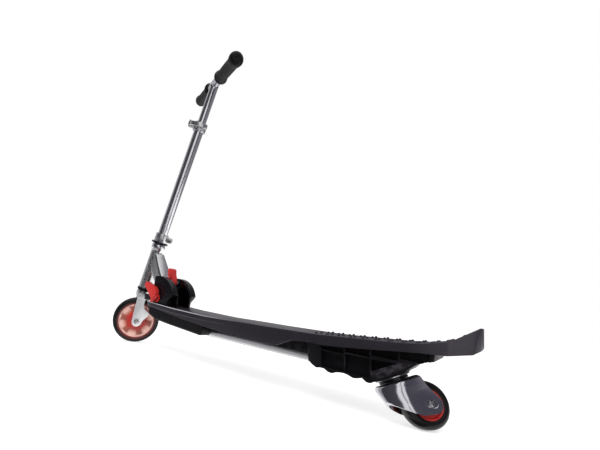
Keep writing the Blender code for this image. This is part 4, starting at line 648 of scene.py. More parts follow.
def height_on(line, x):
    """Height of a line of points at a place along it."""
    for (ax, az), (bx, bz) in zip(line, line[1:]):
        if x <= bx:
            return az + (bz - az) * max(0.0, x - ax) / (bx - ax)
    return line[-1][1]


def soft_step(value, low, high):
    """A smooth step from 0 to 1."""
    t = max(0.0, min(1.0, (value - low) / (high - low)))
    return t * t * (3 - 2 * t)


def grown(name, mesh, tree, values):
    """A plain mesh made by a Geometry Nodes tree from a starting mesh and named values."""
    piece = linked(name, mesh)
    step = piece.modifiers.new("Grow", 'NODES')
    step.node_group = tree
    for item in tree.interface.items_tree:
        if item.item_type == 'SOCKET' and item.in_out == 'INPUT' and item.name in values:
            step[item.identifier] = values[item.name]
    return baked(piece)


class Graph:
    """A small helper that adds and joins nodes in one tree."""

    def __init__(self, tree, grouped=False):
        self.tree = tree
        if grouped:
            self.enter = self.add("NodeGroupInput").outputs
            self.leave = self.add("NodeGroupOutput")

    def feed(self, value, socket):
        """Link an output to an input, or set the input's own value."""
        if isinstance(value, bpy.types.NodeSocket):
            self.tree.links.new(value, socket)
        elif socket.type == 'RGBA':
            socket.default_value = (*value[:3], 1.0)
        else:
            socket.default_value = value

    def give(self, node, *ordered, **named):
        """Set a node's properties and inputs by name, and its first inputs in order."""
        for name, value in named.items():
            if hasattr(node, name):
                setattr(node, name, value)
            else:
                self.feed(value, node.inputs[name.replace("_", " ")])
        for value, socket in zip(ordered, node.inputs):
            self.feed(value, socket)
        return node

    def add(self, kind, *ordered, **named):
        """Add a node and give it its values."""
        return self.give(self.tree.nodes.new(kind), *ordered, **named)

    def shared(self, name, **values):
        """Outputs of a shared group, placed with its own values."""
        return self.add("ShaderNodeGroup", node_tree=bpy.data.node_groups[name], **values).outputs

    def spot(self):
        """The shaded point in the piece's own coordinates."""
        return self.add("ShaderNodeTexCoord").outputs["Object"]

    def noise(self, scale, detail, roughness=0.5, vector=None):
        """Noise over the piece."""
        return self.add("ShaderNodeTexNoise", Vector=vector or self.spot(), Scale=scale, Detail=detail,
                        Roughness=roughness).outputs["Fac"]

    def maths(self, operation, first, second=0.5, clamp=False):
        """A Math node on sockets or plain numbers."""
        return self.add("ShaderNodeMath", first, second, operation=operation, use_clamp=clamp).outputs[0]

    def times(self, *values):
        """The product of sockets or plain numbers."""
        product = values[0]
        for value in values[1:]:
            product = self.maths('MULTIPLY', product, value)
        return product

    def ramp(self, value, low, high, to_low=0.0, to_high=1.0, interpolation='SMOOTHSTEP'):
        """Map a value from one range to another, clamped."""
        return self.add("ShaderNodeMapRange", clamp=True, interpolation_type=interpolation, Value=value,
                        From_Min=low, From_Max=high, To_Min=to_low, To_Max=to_high).outputs["Result"]

    def mix(self, factor, first, second):
        """Mix two colours, each a socket or a plain colour."""
        node = self.add("ShaderNodeMix", data_type='RGBA')
        for index, value in ((0, factor), (6, first), (7, second)):
            self.feed(value, node.inputs[index])
        return node.outputs[2]

    def bump(self, shader, height, strength, distance=0.0002):
        """Feed a height into the shader's normal."""
        node = self.add("ShaderNodeBump", Strength=strength, Distance=distance, Height=height)
        self.give(shader, Normal=node.outputs["Normal"])

    def surface(self, output):
        """Send a shader to the material's own output."""
        self.feed(output, self.tree.nodes["Material Output"].inputs["Surface"])


def new_group(name, inputs, outputs):
    """A shader node group with named sockets."""
    tree = bpy.data.node_groups.new(name, 'ShaderNodeTree')
    for title, kind, default in inputs:
        tree.interface.new_socket(title, in_out='INPUT', socket_type=kind).default_value = default
    for title, kind in outputs:
        tree.interface.new_socket(title, in_out='OUTPUT', socket_type=kind)
    return Graph(tree, grouped=True)


def make_mottle_group():
    """Slight unevenness of colour and gloss, as handling and moulding leave it."""
    graph = new_group(
        "Mottle",
        [("Colour", COLOUR, (0.5, 0.5, 0.5, 1)), ("Spread", NUMBER, 0.1), ("Roughness", NUMBER, 0.4),
         ("Roughness Spread", NUMBER, 0.1), ("Scale", NUMBER, 30.0)],
        [("Colour", COLOUR), ("Roughness", NUMBER)])
    enter = graph.enter
    coarse = graph.noise(enter["Scale"], 4.0, 0.6)
    fine = graph.noise(graph.times(enter["Scale"], MOTTLE_FINER), 3.0, 0.7)
    blend = graph.maths('ADD', *(graph.times(*pair) for pair in zip((coarse, fine), MOTTLE_SHARES)))
    centred = graph.maths('SUBTRACT', blend, 0.5)
    gain = graph.maths('ADD', 1.0, graph.times(centred, enter["Spread"], MOTTLE_GAIN))
    shift = graph.add("ShaderNodeHueSaturation", Color=enter["Colour"], Value=gain)
    unevenness = graph.times(centred, enter["Roughness Spread"], MOTTLE_GAIN)
    rough = graph.maths('ADD', enter["Roughness"], unevenness, clamp=True)
    graph.give(graph.leave, Colour=shift.outputs["Color"], Roughness=rough)


def make_grain_group():
    """Fine moulded or cast grain, as a height."""
    graph = new_group("Grain", [("Scale", NUMBER, 900.0), ("Depth", NUMBER, 1.0)], [("Height", NUMBER)])
    noise = graph.noise(graph.enter["Scale"], 2.0)
    graph.give(graph.leave, Height=graph.times(noise, graph.enter["Depth"]))


def make_drawn_group():
    """Long fine lines left by drawing or brushing, along one turned axis."""
    graph = new_group(
        "Drawn lines", [("Turn", VECTOR, (0, 0, 0)), ("Scale", NUMBER, 600.0), ("Stretch", NUMBER, 0.02)],
        [("Height", NUMBER), ("Streak", NUMBER)])
    turn = graph.add("ShaderNodeMapping", vector_type='POINT', Vector=graph.spot(),
                     Rotation=graph.enter["Turn"])
    squeeze = graph.add("ShaderNodeCombineXYZ", 1.0, 1.0, graph.enter["Stretch"])
    stretch = graph.add("ShaderNodeVectorMath", turn.outputs["Vector"], squeeze.outputs["Vector"],
                        operation='MULTIPLY')
    noise = graph.noise(graph.enter["Scale"], 3.0, 0.65, stretch.outputs["Vector"])
    graph.give(graph.leave, Height=noise, Streak=graph.ramp(noise, *STREAK_RANGE))


def make_wear_group():
    """A mask of rubbed outer edges, broken up by noise."""
    graph = new_group("Edge wear", [("Amount", NUMBER, 0.5), ("Scale", NUMBER, 120.0)], [("Mask", NUMBER)])
    edge = graph.ramp(graph.add("ShaderNodeNewGeometry").outputs["Pointiness"], *WEAR_SHARPNESS)
    breaks = graph.ramp(graph.noise(graph.enter["Scale"], 4.0, 0.7), *WEAR_BREAKS)
    graph.give(graph.leave, Mask=graph.times(edge, breaks, graph.enter["Amount"]))


def axis_turn(direction):
    """Mapping rotation that lays a direction along Z."""
    return tuple(direction.to_track_quat('Z', 'Y').to_matrix().inverted().to_euler('XYZ'))


def scaled(colour, gain):
    """A lighter or darker tone of a colour."""
    return tuple(channel * gain for channel in colour)


def new_material(name):
    """A material with its Principled shader and graph."""
    material = bpy.data.materials.new(name)
    material.use_nodes = True
    return material, material.node_tree.nodes["Principled BSDF"], Graph(material.node_tree)


def moulded(name, colour, roughness, spread=0.08, grain=700.0, depth=0.25, wear=0.3, worn=None, coat=0.0,
            gloss=0.3, painted_fade=None):
    """A moulded plastic or rubber: mottle, grain, rubbed edges and a painted fade of colour along the board, which
    paints a sheen on the board's tail and a shadow on its lip and crease.
    """
    material, shader, graph = new_material(name)
    mottle = graph.shared("Mottle", Colour=colour, Spread=spread, Roughness=roughness, Roughness_Spread=0.07,
                          Scale=35.0)
    rubbed = worn or tuple(min(1.0, channel * WEAR_GAIN + WEAR_LIFT) for channel in colour)
    base = graph.mix(graph.shared("Edge wear", Amount=wear)["Mask"], mottle["Colour"], rubbed)
    # Painted light: the colour changes along the board's length, as a painted sheen or a painted shadow.
    if painted_fade is not None:
        end_colour, ends = painted_fade
        split = graph.add("ShaderNodeSeparateXYZ", Vector=graph.spot())
        along = graph.ramp(split.outputs["X"], *(BOARD.translation.x + x for x in ends))
        base = graph.mix(along, base, end_colour)
    graph.give(shader, Base_Color=base, Roughness=mottle["Roughness"], Specular_IOR_Level=gloss,
               Coat_Weight=coat, Coat_Roughness=COAT_ROUGHNESS)
    graph.bump(shader, graph.shared("Grain", Scale=grain)["Height"], depth)
    return material


def metal(name, colour, roughness, along=ALONG, lines=0.12, scale=500.0, stretch=0.02):
    """A metal with mottle, and drawn lines along one direction."""
    material, shader, graph = new_material(name)
    mottle = graph.shared("Mottle", Colour=colour, Spread=0.05, Roughness=roughness, Roughness_Spread=0.012,
                          Scale=28.0)
    drawn = graph.shared("Drawn lines", Turn=axis_turn(along), Scale=scale, Stretch=stretch)
    share = graph.times(drawn["Streak"], STREAK_SHARE)
    streaked = graph.mix(share, mottle["Colour"], scaled(colour, STREAK_TONE))
    graph.give(shader, Base_Color=streaked, Roughness=mottle["Roughness"], Metallic=1.0)
    graph.bump(shader, drawn["Height"], lines, 0.0001)
    return material


def wheel_plane(graph, place):
    """X, Y and the distance from the axle, in a wheel's own plane."""
    inverse = place.inverted()
    local = graph.add("ShaderNodeMapping", vector_type='POINT', Vector=graph.spot(),
                      Rotation=inverse.to_euler('XYZ'), Location=inverse.translation)
    split = graph.add("ShaderNodeSeparateXYZ", Vector=local.outputs["Vector"]).outputs
    x = split["X"]
    y = split["Y"]
    return x, y, graph.maths('SQRT', graph.maths('ADD', graph.times(x, x), graph.times(y, y)))


def wheel_plastic(name, place, palette):
    """Clear red plastic over six cream lobes of painted light with a painted glow, laid out in the wheel's own
    plane.
    """
    material, shader, graph = new_material(name)
    x, y, radius = wheel_plane(graph, place)
    angle = graph.times(graph.maths('ARCTAN2', y, x), float(FRONT_LOBES))
    lobe = graph.ramp(graph.maths('COSINE', graph.maths('ADD', angle, pi)), *LOBE_WAVE)
    window = graph.times(*(graph.ramp(radius, *edge) for edge in LOBE_WINDOW))
    inside, outside = LOBE_ARC
    arc = graph.times(graph.ramp(radius, *inside), graph.ramp(radius, *outside, 0.0, LOBE_ARC_LIGHT))
    streak = graph.ramp(graph.noise(160.0, 2.0), *LOBE_STREAKS)
    bright = graph.times(graph.maths('MAXIMUM', graph.times(lobe, window), arc), streak)
    outward = palette["boss"]
    for band, next_colour in ((WEDGE_BAND, "wedge"), (RING_BAND, "ring"), (RIM_BAND, "rim")):
        outward = graph.mix(graph.ramp(radius, *band), outward, palette[next_colour])
    cream = graph.mix(graph.ramp(radius, *LOBE_CREAM), palette["lobe_inner"], palette["lobe_outer"])
    # Painted light: the lobes are cream and give off light, as if lit through the clear plastic.
    graph.give(shader, Base_Color=graph.mix(bright, outward, cream), Roughness=0.3, Specular_IOR_Level=0.35,
               Emission_Color=graph.mix(bright, (0.0, 0.0, 0.0), cream), Emission_Strength=PAINTED_LOBE_GLOW,
               Coat_Weight=0.35, Coat_Roughness=COAT_ROUGHNESS)
    graph.bump(shader, graph.shared("Grain", Scale=500.0)["Height"], 0.06)
    return material


def tyre_rubber(name, place, core_radius, glow, painted_glow_width):
    """Black polyurethane, with a painted red glow close to the core that stands in for the core's red light."""
    material, shader, graph = new_material(name)
    radius = wheel_plane(graph, place)[2]
    mottle = graph.shared("Mottle", Colour=(0.006, 0.0055, 0.006), Spread=0.12, Roughness=0.34,
                          Roughness_Spread=0.1, Scale=45.0)
    # Painted light: the red glow is mixed into the colour near the core.
    near = graph.ramp(radius, core_radius, core_radius + painted_glow_width, 1.0, 0.0)
    graph.give(shader, Base_Color=graph.mix(near, mottle["Colour"], glow), Roughness=mottle["Roughness"],
               Specular_IOR_Level=0.3)
    graph.bump(shader, graph.shared("Grain", Scale=650.0)["Height"], 0.12)
    return material


MATERIALS = {}


def make_materials(colours):
    """Every finish of the scooter, from the panel's colours."""
    make_mottle_group()
    make_grain_group()
    make_drawn_group()
    make_wear_group()
    column = axis_of("steer")
    black = tuple(colours.black_moulding)
    silver = tuple(colours.silver)
    MATERIALS.update({
        # The board's tail is painted lighter, a painted sheen.
        "board": moulded("Black board moulding", black, 0.34, grain=520.0, depth=0.2, wear=0.25, gloss=0.4,
                         painted_fade=(scaled(black, 1.75), TAIL_SHEEN_FADE)),
        "housing": moulded("Black ribbed moulding", scaled(black, 0.30), 0.44, gloss=0.16, wear=0.9,
                           worn=(0.050, 0.045, 0.054)),
        "cover": moulded("Glossy black cover", scaled(black, 0.25), 0.26, coat=0.12, depth=0.08,
                         gloss=0.25),
        "grip": moulded("Black grip rubber", (0.0045, 0.0035, 0.004), 0.5, grain=420.0, depth=0.4,
                        gloss=0.25),
        "red": moulded("Red moulding", tuple(colours.red_moulding), 0.3, spread=0.05, depth=0.1, coat=0.25,
                       worn=(0.75, 0.12, 0.1)),
        # Painted highlight: a light grey bead along the board's black upper edge, darkened rearwards by a painted
        # shadow.
        "lip": moulded("Board lip painted highlight", (0.50, 0.485, 0.52), 0.22, spread=0.04, depth=0.05, gloss=0.5,
                       painted_fade=(black, LIP_SHADOW_FADE)),
        # Painted sheen: a dark purple-grey bead along the board's flank, darkened rearwards by the same painted
        # shadow.
        "crease": moulded("Board crease painted sheen", (0.070, 0.061, 0.077), 0.34, spread=0.04, depth=0.05,
                          painted_fade=(black, LIP_SHADOW_FADE)),
        "tube": metal("Polished tube", tuple(colours.chrome), 0.17, column, 0.001),
        "plated": metal("Chromed pressing", tuple(colours.plating), 0.16, axis_of("caster_swivel"), 0.012,
                        scale=260.0, stretch=0.08),
        "silver": metal("Satin silver", silver, 0.30, column, 0.08),
        "frame": metal("Polished frame", scaled(silver, 0.92), 0.27, column, 0.004),
        "spine": metal("Satin spine tube", silver, 0.34, ALONG, 0.08),
        "leg": metal("Brushed leg", scaled(silver, 1.22), 0.46, column, 0.12, scale=420.0),
        "steel": metal("Plain steel", scaled(silver, 0.8), 0.2, ALONG, 0.04),
        "dark": metal("Blackened steel", (0.045, 0.044, 0.050), 0.28, ALONG, 0.04),
        # The tyres' red near their cores is a painted glow.
        "front_tyre": tyre_rubber("Front tyre", FRONT_AXLE, FRONT_CORE_RADIUS, (0.040, 0.008, 0.007),
                                  0.0018),
        "rear_tyre": tyre_rubber("Rear tyre", REAR_AXLE, REAR_HUB_RADIUS, (0.05, 0.012, 0.01), 0.0015),
        # The lobes' cream colours are painted light shining through the clear core.
        "core": wheel_plastic("Clear red wheel core", FRONT_AXLE, {
            "boss": tuple(colours.wheel_boss), "wedge": tuple(colours.wheel_wedge),
            "ring": (0.23, 0.034, 0.028), "rim": (0.032, 0.006, 0.006), "lobe_inner": (0.66, 0.22, 0.14),
            "lobe_outer": (1.0, 0.66, 0.58)}),
    })


def tone(name, description, default):
    """A colour that the panel shows."""
    return bpy.props.FloatVectorProperty(
        name=name, description=description, subtype='COLOR', default=default, min=0.0, max=1.0)


def size(name, description, default, low, high):
    """A length that the panel shows."""
    return bpy.props.FloatProperty(
        name=name, description=description, default=default, min=low, max=high, subtype='DISTANCE',
        unit='LENGTH')


def power(name, description, default):
    """A lamp's power that the panel shows."""
    return bpy.props.FloatProperty(
        name=name, description=description, default=default, min=0.0, max=500.0, subtype='POWER',
        unit='POWER')


class ScooterColours(bpy.types.PropertyGroup):
    """Colours of the scooter's finishes."""

    black_moulding: tone("Black moulding", "Board, housings and covers", (0.0200, 0.0170, 0.0225))
    red_moulding: tone("Red moulding", "Thumb paddle, cam lever and rear hub", (0.58, 0.030, 0.026))
    silver: tone("Silver", "Satin aluminium and steel", (0.74, 0.74, 0.75))
    chrome: tone("Chrome", "Polished tubes", (0.80, 0.80, 0.82))
    plating: tone("Plating", "Chromed caster pressing", (0.66, 0.66, 0.70))
    wheel_boss: tone("Wheel boss", "Middle of the front wheel's core", (0.55, 0.030, 0.025))
    wheel_wedge: tone("Wheel wedges", "Between the bright lobes of the front wheel", (0.38, 0.095, 0.060))


class ScooterSizes(bpy.types.PropertyGroup):
    """Sizes of the fine shapes that the finished pieces add."""

    edge_round: size("Edge rounding", "Radius on the corners of plates and mouldings", 0.0008, 0.0, 0.003)
    stud_radius: size("Stud radius", "Radius of a grip stud at its foot", 0.0027, 0.001, 0.005)
    stud_height: size("Stud height", "Height of a grip stud over the board", 0.0034, 0.001, 0.006)
    pocket_depth: size("Pocket depth", "Depth of the front wheel's six pockets", 0.0045, 0.0, 0.006)


class ScooterStage(bpy.types.PropertyGroup):
    """Light and backdrop."""

    ambient: bpy.props.FloatProperty(
        name="Ambient", description="Strength of the soft light from all round", default=0.55, min=0.0,
        max=2.0)
    key: power("Key lamp", "Power of the main soft lamp", 38.0)
    fill: power("Fill lamp", "Power of the softer second lamp", 14.0)


def panel_values():
    """The three groups of values that the panel shows."""
    scene = bpy.context.scene
    return scene.scooter_colours, scene.scooter_sizes, scene.scooter_stage


class SCOOTER_OT_stage(bpy.types.Operator):
    """Camera, floor, soft lamps, screens and backdrop"""

    bl_idname = "scooter.stage"
    bl_label = "Make the stage"

    def execute(self, context):
        stage = panel_values()[2]
        place_camera()
        make_floor()
        make_world(stage.ambient)
        for lamp, strength in zip(LAMPS, (stage.key, stage.fill)):
            make_lamp(*lamp, strength)
        make_surround()
        context.scene.view_settings.view_transform = 'Standard'
        return {'FINISHED'}


def place_camera():
    """The camera, as fitted to the photograph."""
    heading = CAMERA_HEADING
    pitch = CAMERA_PITCH
    forward = Vector((-sin(heading) * cos(pitch), cos(heading) * cos(pitch), sin(pitch)))
    level = Vector((cos(heading), sin(heading), 0))
    upright = level.cross(forward)
    right = level * cos(CAMERA_ROLL) + upright * sin(CAMERA_ROLL)
    up = upright * cos(CAMERA_ROLL) - level * sin(CAMERA_ROLL)
    data = bpy.data.cameras.new("photo_camera")
    data.lens = CAMERA_LENS
    data.sensor_width = CAMERA_SENSOR
    data.shift_x, data.shift_y = CAMERA_SHIFT
    data.clip_start = CAMERA_NEAR
    camera = bpy.data.objects.new("photo_camera", data)
    place = Matrix((right, up, -forward)).transposed().to_4x4()
    place.translation = CAMERA_PLACE
    camera.matrix_world = place
    bpy.context.scene.collection.objects.link(camera)
    bpy.context.scene.camera = camera


def straight_rays(graph):
    """One for camera, glossy and transmitted rays, and nought for the others."""
    rays = graph.add("ShaderNodeLightPath").outputs
    return graph.maths('MAXIMUM', rays["Is Camera Ray"],
                       graph.maths('MAXIMUM', rays["Is Glossy Ray"], rays["Is Transmission Ray"]))


def make_floor():
    """A wide pale floor that keeps the scooter's shadow."""
    solid = bmesh.new()
    bmesh.ops.create_grid(solid, x_segments=1, y_segments=1, size=FLOOR_SIZE)
    material, shader, graph = new_material("Pale floor")
    graph.give(shader, Base_Color=FLOOR_TONE, Roughness=0.9, Specular_IOR_Level=0.0)
    nothing, lift = (graph.add("ShaderNodeEmission", Strength=strength) for strength in (0.0, FLOOR_LIFT))
    glow = graph.add("ShaderNodeMixShader", straight_rays(graph), nothing.outputs[0], lift.outputs[0])
    graph.surface(graph.add("ShaderNodeAddShader", shader.outputs[0], glow.outputs[0]).outputs[0])
    floor = from_bmesh("floor", solid, Matrix.Identity(4), material)


def make_world(ambient):
    """Even soft light, with a white backdrop for the camera, metal and glass."""
    world = bpy.data.worlds.new("Studio")
    world.use_nodes = True
    bpy.context.scene.world = world
    world.node_tree.nodes.clear()
    graph = Graph(world.node_tree)
    soft, white = (graph.add("ShaderNodeBackground", Color=(1, 1, 1), Strength=strength)
                   for strength in (ambient, 1.0))
    mixed = graph.add("ShaderNodeMixShader", straight_rays(graph), soft.outputs[0], white.outputs[0])
    graph.add("ShaderNodeOutputWorld", Surface=mixed.outputs[0])


def make_lamp(name, location, target, width, strength):
    """A square soft lamp, facing its target."""
    data = bpy.data.lights.new(name, 'AREA')
    data.energy = strength
    data.size = width
    lamp = bpy.data.objects.new(name, data)
    place = (Vector(target) - Vector(location)).to_track_quat('-Z', 'Y').to_matrix().to_4x4()
    place.translation = location
    lamp.matrix_world = place
    lamp.visible_glossy = False
    bpy.context.scene.collection.objects.link(lamp)


def make_surround():
    """A ring of tall screens and a fan, light and dark by turns, that only shiny surfaces see."""
    wall = bmesh.new()
    low, high = (ring(wall, SURROUND_RADIUS, height, SURROUND_STEPS) for height in SURROUND_HEIGHTS)
    bridge(wall, low, high)
    only_for_shine("studio_screens", wall, screen_tones("Studio screens", (0, 0, 0)))
    fan = bmesh.new()
    arcs = [curve_points(*FAN_MIDDLE[:2], reach, *FAN_ENDS, FAN_STEPS) for reach in FAN_REACH]
    near, far = ([fan.verts.new((x, y, FAN_HEIGHT)) for x, y in arc] for arc in arcs)
    bridge(fan, near, far, closed=False)
    only_for_shine("floor_screen", fan, screen_tones("Floor screen", FAN_MIDDLE))


def screen_tones(name, middle):
    """Light and dark tones that change with the heading from a middle."""
    material, _, graph = new_material(name)
    shift = graph.add("ShaderNodeVectorMath", graph.spot(), middle, operation='SUBTRACT')
    split = graph.add("ShaderNodeSeparateXYZ", Vector=shift.outputs["Vector"]).outputs
    heading = graph.maths('ARCTAN2', split["Y"], split["X"])
    screens = graph.add("ShaderNodeValToRGB", graph.ramp(heading, -pi, pi, interpolation='LINEAR'))
    stops = screens.color_ramp.elements
    while len(stops) > 1:
        stops.remove(stops[-1])
    for index, (degrees, colour) in enumerate(SCREENS):
        stop = stops[0] if index == 0 else stops.new((degrees + 180) / 360)
        stop.position = (degrees + 180) / 360
        stop.color = (*colour, 1.0)
    graph.surface(graph.add("ShaderNodeEmission", Color=screens.outputs["Color"], Strength=1.0).outputs[0])
    return material


def only_for_shine(name, solid, material):
    """A screen that is hidden from everything but shiny surfaces."""
    screen = from_bmesh(name, solid, Matrix.Identity(4), material)
    screen.visible_camera = False
    screen.visible_diffuse = False
    screen.visible_shadow = False
    screen.visible_transmission = False


class SCOOTER_OT_finishes(bpy.types.Operator):
    """Every material, from the panel's colours"""

    bl_idname = "scooter.finishes"
    bl_label = "Mix the finishes"

    def execute(self, context):
        make_materials(panel_values()[0])
        return {'FINISHED'}


class SCOOTER_OT_tyres(bpy.types.Operator):
    """Both tyres, with round shoulders and a moulding line"""

    bl_idname = "scooter.tyres"
    bl_label = "Turn the tyres"

    def execute(self, context):
        front = tyre_profile(FRONT_TYRE_RADIUS, FRONT_CORE_RADIUS, FRONT_HALF_WIDTH, FRONT_SHOULDER)
        turned_node("front_tyre", front, FRONT_AXLE, "front_tyre", 144, angle=50)
        rear = tyre_profile(REAR_TYRE_RADIUS, REAR_HUB_RADIUS, REAR_HALF_WIDTH, REAR_SHOULDER)
        turned_node("rear_tyre", rear, REAR_AXLE, "rear_tyre", 128, angle=50)
        return {'FINISHED'}


def tyre_profile(radius, core, half, shoulder):
    """A tyre's section: inner wall, side step, round shoulders and a fine line round the middle."""
    inner = core + FIT_GAP
    line, rise = TYRE_LINE
    start, end = SHOULDER_TURN
    profile = [(inner, half - TYRE_EDGE), (inner + TYRE_EDGE, half)]
    profile += curve_points(radius - shoulder, half - shoulder, shoulder, start, end, SHOULDER_STEPS)
    profile += [(radius, line), (radius + rise, 0.0), (radius, -line)]
    profile += curve_points(radius - shoulder, shoulder - half, shoulder, -end, -start, SHOULDER_STEPS)
    return profile + [(inner + TYRE_EDGE, -half), (inner, TYRE_EDGE - half)]


class SCOOTER_OT_wheel_cores(bpy.types.Operator):
    """The front core with its six pockets, the rear hub and the bearings"""

    bl_idname = "scooter.wheel_cores"
    bl_label = "Mould the wheel cores"

    def execute(self, context):
        hide_node(pocketed_core(panel_values()[1].pocket_depth), "front_wheel_core")
        side = [(radius, REAR_HALF_WIDTH - depth) for radius, depth in HUB_SECTION]
        turned_node("rear_hub", side + [(r, -z) for r, z in reversed(side)], REAR_AXLE, "red", 112, angle=40)
        for wheel, half, place in (
                ("front", FRONT_HALF_WIDTH, FRONT_AXLE), ("rear", REAR_HALF_WIDTH, REAR_AXLE)):
            for turn, word in ((1, "left"), (-1, "right")):
                face = half - BEARING_INSET
                section = [(radius, turn * (face - depth)) for radius, depth in BEARING_SECTION]
                turned_node(f"{wheel}_bearing_{word}", section, place, "steel", 64)
        return {'FINISHED'}


def core_height(radius, angle, depth):
    """Half thickness of the front core at a point of its face."""
    lip = FRONT_CORE_RADIUS - FRONT_RIM_WIDTH
    boss = 1 - soft_step(radius, *(FRONT_BOSS_RADIUS + edge for edge in CORE_BOSS_EDGE))
    rim = soft_step(radius, lip + CORE_RIM_EDGE[0], FRONT_CORE_RADIUS + CORE_RIM_EDGE[1])
    height = FRONT_HALF_WIDTH - CORE_DISH + CORE_DISH * boss + CORE_RIM_RISE * rim
    sector = 2 * pi / FRONT_LOBES
    off = abs((angle % sector) - sector / 2)
    edge = sector / 2 - SPOKE_HALF_WIDTH / radius
    across = 1 - soft_step(off, *(edge + slope for slope in SPOKE_SLOPE))
    start = soft_step(radius, *POCKET_START)
    end = soft_step(radius, *(lip + edge for edge in POCKET_END))
    return height - depth * across * start * (1 - end)


def pocketed_core(depth):
    """A core whose two faces are pressed in between the spokes."""
    solid = bmesh.new()
    bore = BEARING_RADIUS + FIT_GAP
    radii = [bore + (FRONT_CORE_RADIUS - bore) * i / CORE_ROWS for i in range(CORE_ROWS + 1)]
    turn = [2 * pi * k / CORE_TURNS for k in range(CORE_TURNS)]
    faces = []
    for side in (1, -1):
        faces.append([
            [solid.verts.new((r * cos(a), r * sin(a), side * core_height(r, a, depth))) for a in turn]
            for r in radii])
        for inner, outer in zip(faces[-1], faces[-1][1:]):
            bridge(solid, inner, outer)
    for index in (0, -1):
        bridge(solid, faces[0][index], faces[1][index])
    return from_bmesh("front_wheel_core_finished", solid, FRONT_AXLE, MATERIALS["core"], 45)


class SCOOTER_OT_column(bpy.types.Operator):
    """The lower column with its slotted sight hole, and the steerer inside the head tube"""

    bl_idname = "scooter.column"
    bl_label = "Draw the column"

    def execute(self, context):
        column = tube("lower_column_finished", COLUMN_RADIUS, COLUMN_WALL, COLUMN_TOP, COLUMN_BOTTOM,
                      STEERING, MATERIALS["tube"], 0.0004)
        slot = [point for middle, turn in ((SLOT_HALF_LENGTH, 0), (-SLOT_HALF_LENGTH, 180))
                for point in curve_points(0, middle, SLOT_HALF_WIDTH, turn, turn + 180, 8)]
        place = Matrix.Translation((0, 0, SLOT_HEIGHT)) @ Matrix.Rotation(radians(SLOT_TURN), 4, 'Z')
        combine(column, side_plate("sight_slot", slot, SLOT_DEPTHS, STEERING @ place))
        shade(column.data)
        hide_node(column, "lower_column")
        turned_node("steerer", STEERER_SECTION, STEERING, "tube", MEDIUM, closed=False)
        return {'FINISHED'}


class SCOOTER_OT_headset(bpy.types.Operator):
    """Cups, races and the dark flange"""

    bl_idname = "scooter.headset"
    bl_label = "Press in the headset"

    def execute(self, context):
        for node, place, material, section in HEADSET:
            turned_node(node, section, place, material)
        return {'FINISHED'}


class SCOOTER_OT_handlebar(bpy.types.Operator):
    """Cross bar and stem, joined as a T"""

    bl_idname = "scooter.handlebar"
    bl_label = "Weld the handlebar"

    def execute(self, context):
        bright = MATERIALS["tube"]
        stem = rod("handlebar_finished", BAR_RADIUS, BAR_HEIGHT, STEM_BOTTOM, STEERING, bright, FINE)
        weld = [(BAR_RADIUS + out, BAR_HEIGHT + up) for out, up in WELD_SECTION]
        cross = rod("cross_bar", BAR_RADIUS, BAR_HALF_LENGTH, -BAR_HALF_LENGTH, BARS, bright, FINE)
        combine(stem, cross, 'UNION')
        combine(stem, lathe("weld_bead", weld, STEERING, bright, closed=True), 'UNION')
        end = BAR_HALF_LENGTH + CUT_EXTRA
        for name, place, top, bottom in (("bar_bore", BARS, end, -end),
                                         ("stem_bore", STEERING, STEM_BORE_TOP, STEM_BOTTOM - CUT_EXTRA)):
            combine(stem, rod(name, BAR_RADIUS - BAR_WALL, top, bottom, place))
        shade(stem.data, 30)
        hide_node(stem, "handlebar")
        return {'FINISHED'}


class SCOOTER_OT_grips(bpy.types.Operator):
    """Two soft grips with a bulb and a recessed end"""

    bl_idname = "scooter.grips"
    bl_label = "Mould the grips"

    def execute(self, context):
        for turn, word in ((0.0, "left"), (pi, "right")):
            place = BARS @ Matrix.Rotation(turn, 4, 'X')
            turned_node("grip_" + word, grip_profile(), place, "grip", closed=False, angle=50)
        return {'FINISHED'}


def grip_profile():
    """Half section of a grip, from the middle of its end to the bar."""
    profile = [(radius, GRIP_END - depth) for radius, depth in GRIP_END_SECTION]
    start, end = GRIP_RIB_ENDS
    pitch = (end - start) / GRIP_RIBS
    for i in reversed(range(GRIP_RIBS)):
        profile += [(GRIP_RADIUS + out, start + pitch * (i + along)) for out, along in GRIP_RIB_SECTION]
    profile += [(radius, GRIP_START + height) for radius, height in GRIP_FLANGE_SECTION]
    return profile + [(profile[-1][0], GRIP_SEAT), (0.0, GRIP_SEAT)]


class SCOOTER_OT_plates(bpy.types.Operator):
    """Fork, front frame, clamps, bracket, spine tube, caster hood and the small metal pieces"""

    bl_idname = "scooter.plates"
    bl_label = "Finish the plates"

    def execute(self, context):
        round_nodes(PLATES, panel_values()[1].edge_round)
        spine_tube()
        front_frame()
        caster_hood()
        return {'FINISHED'}


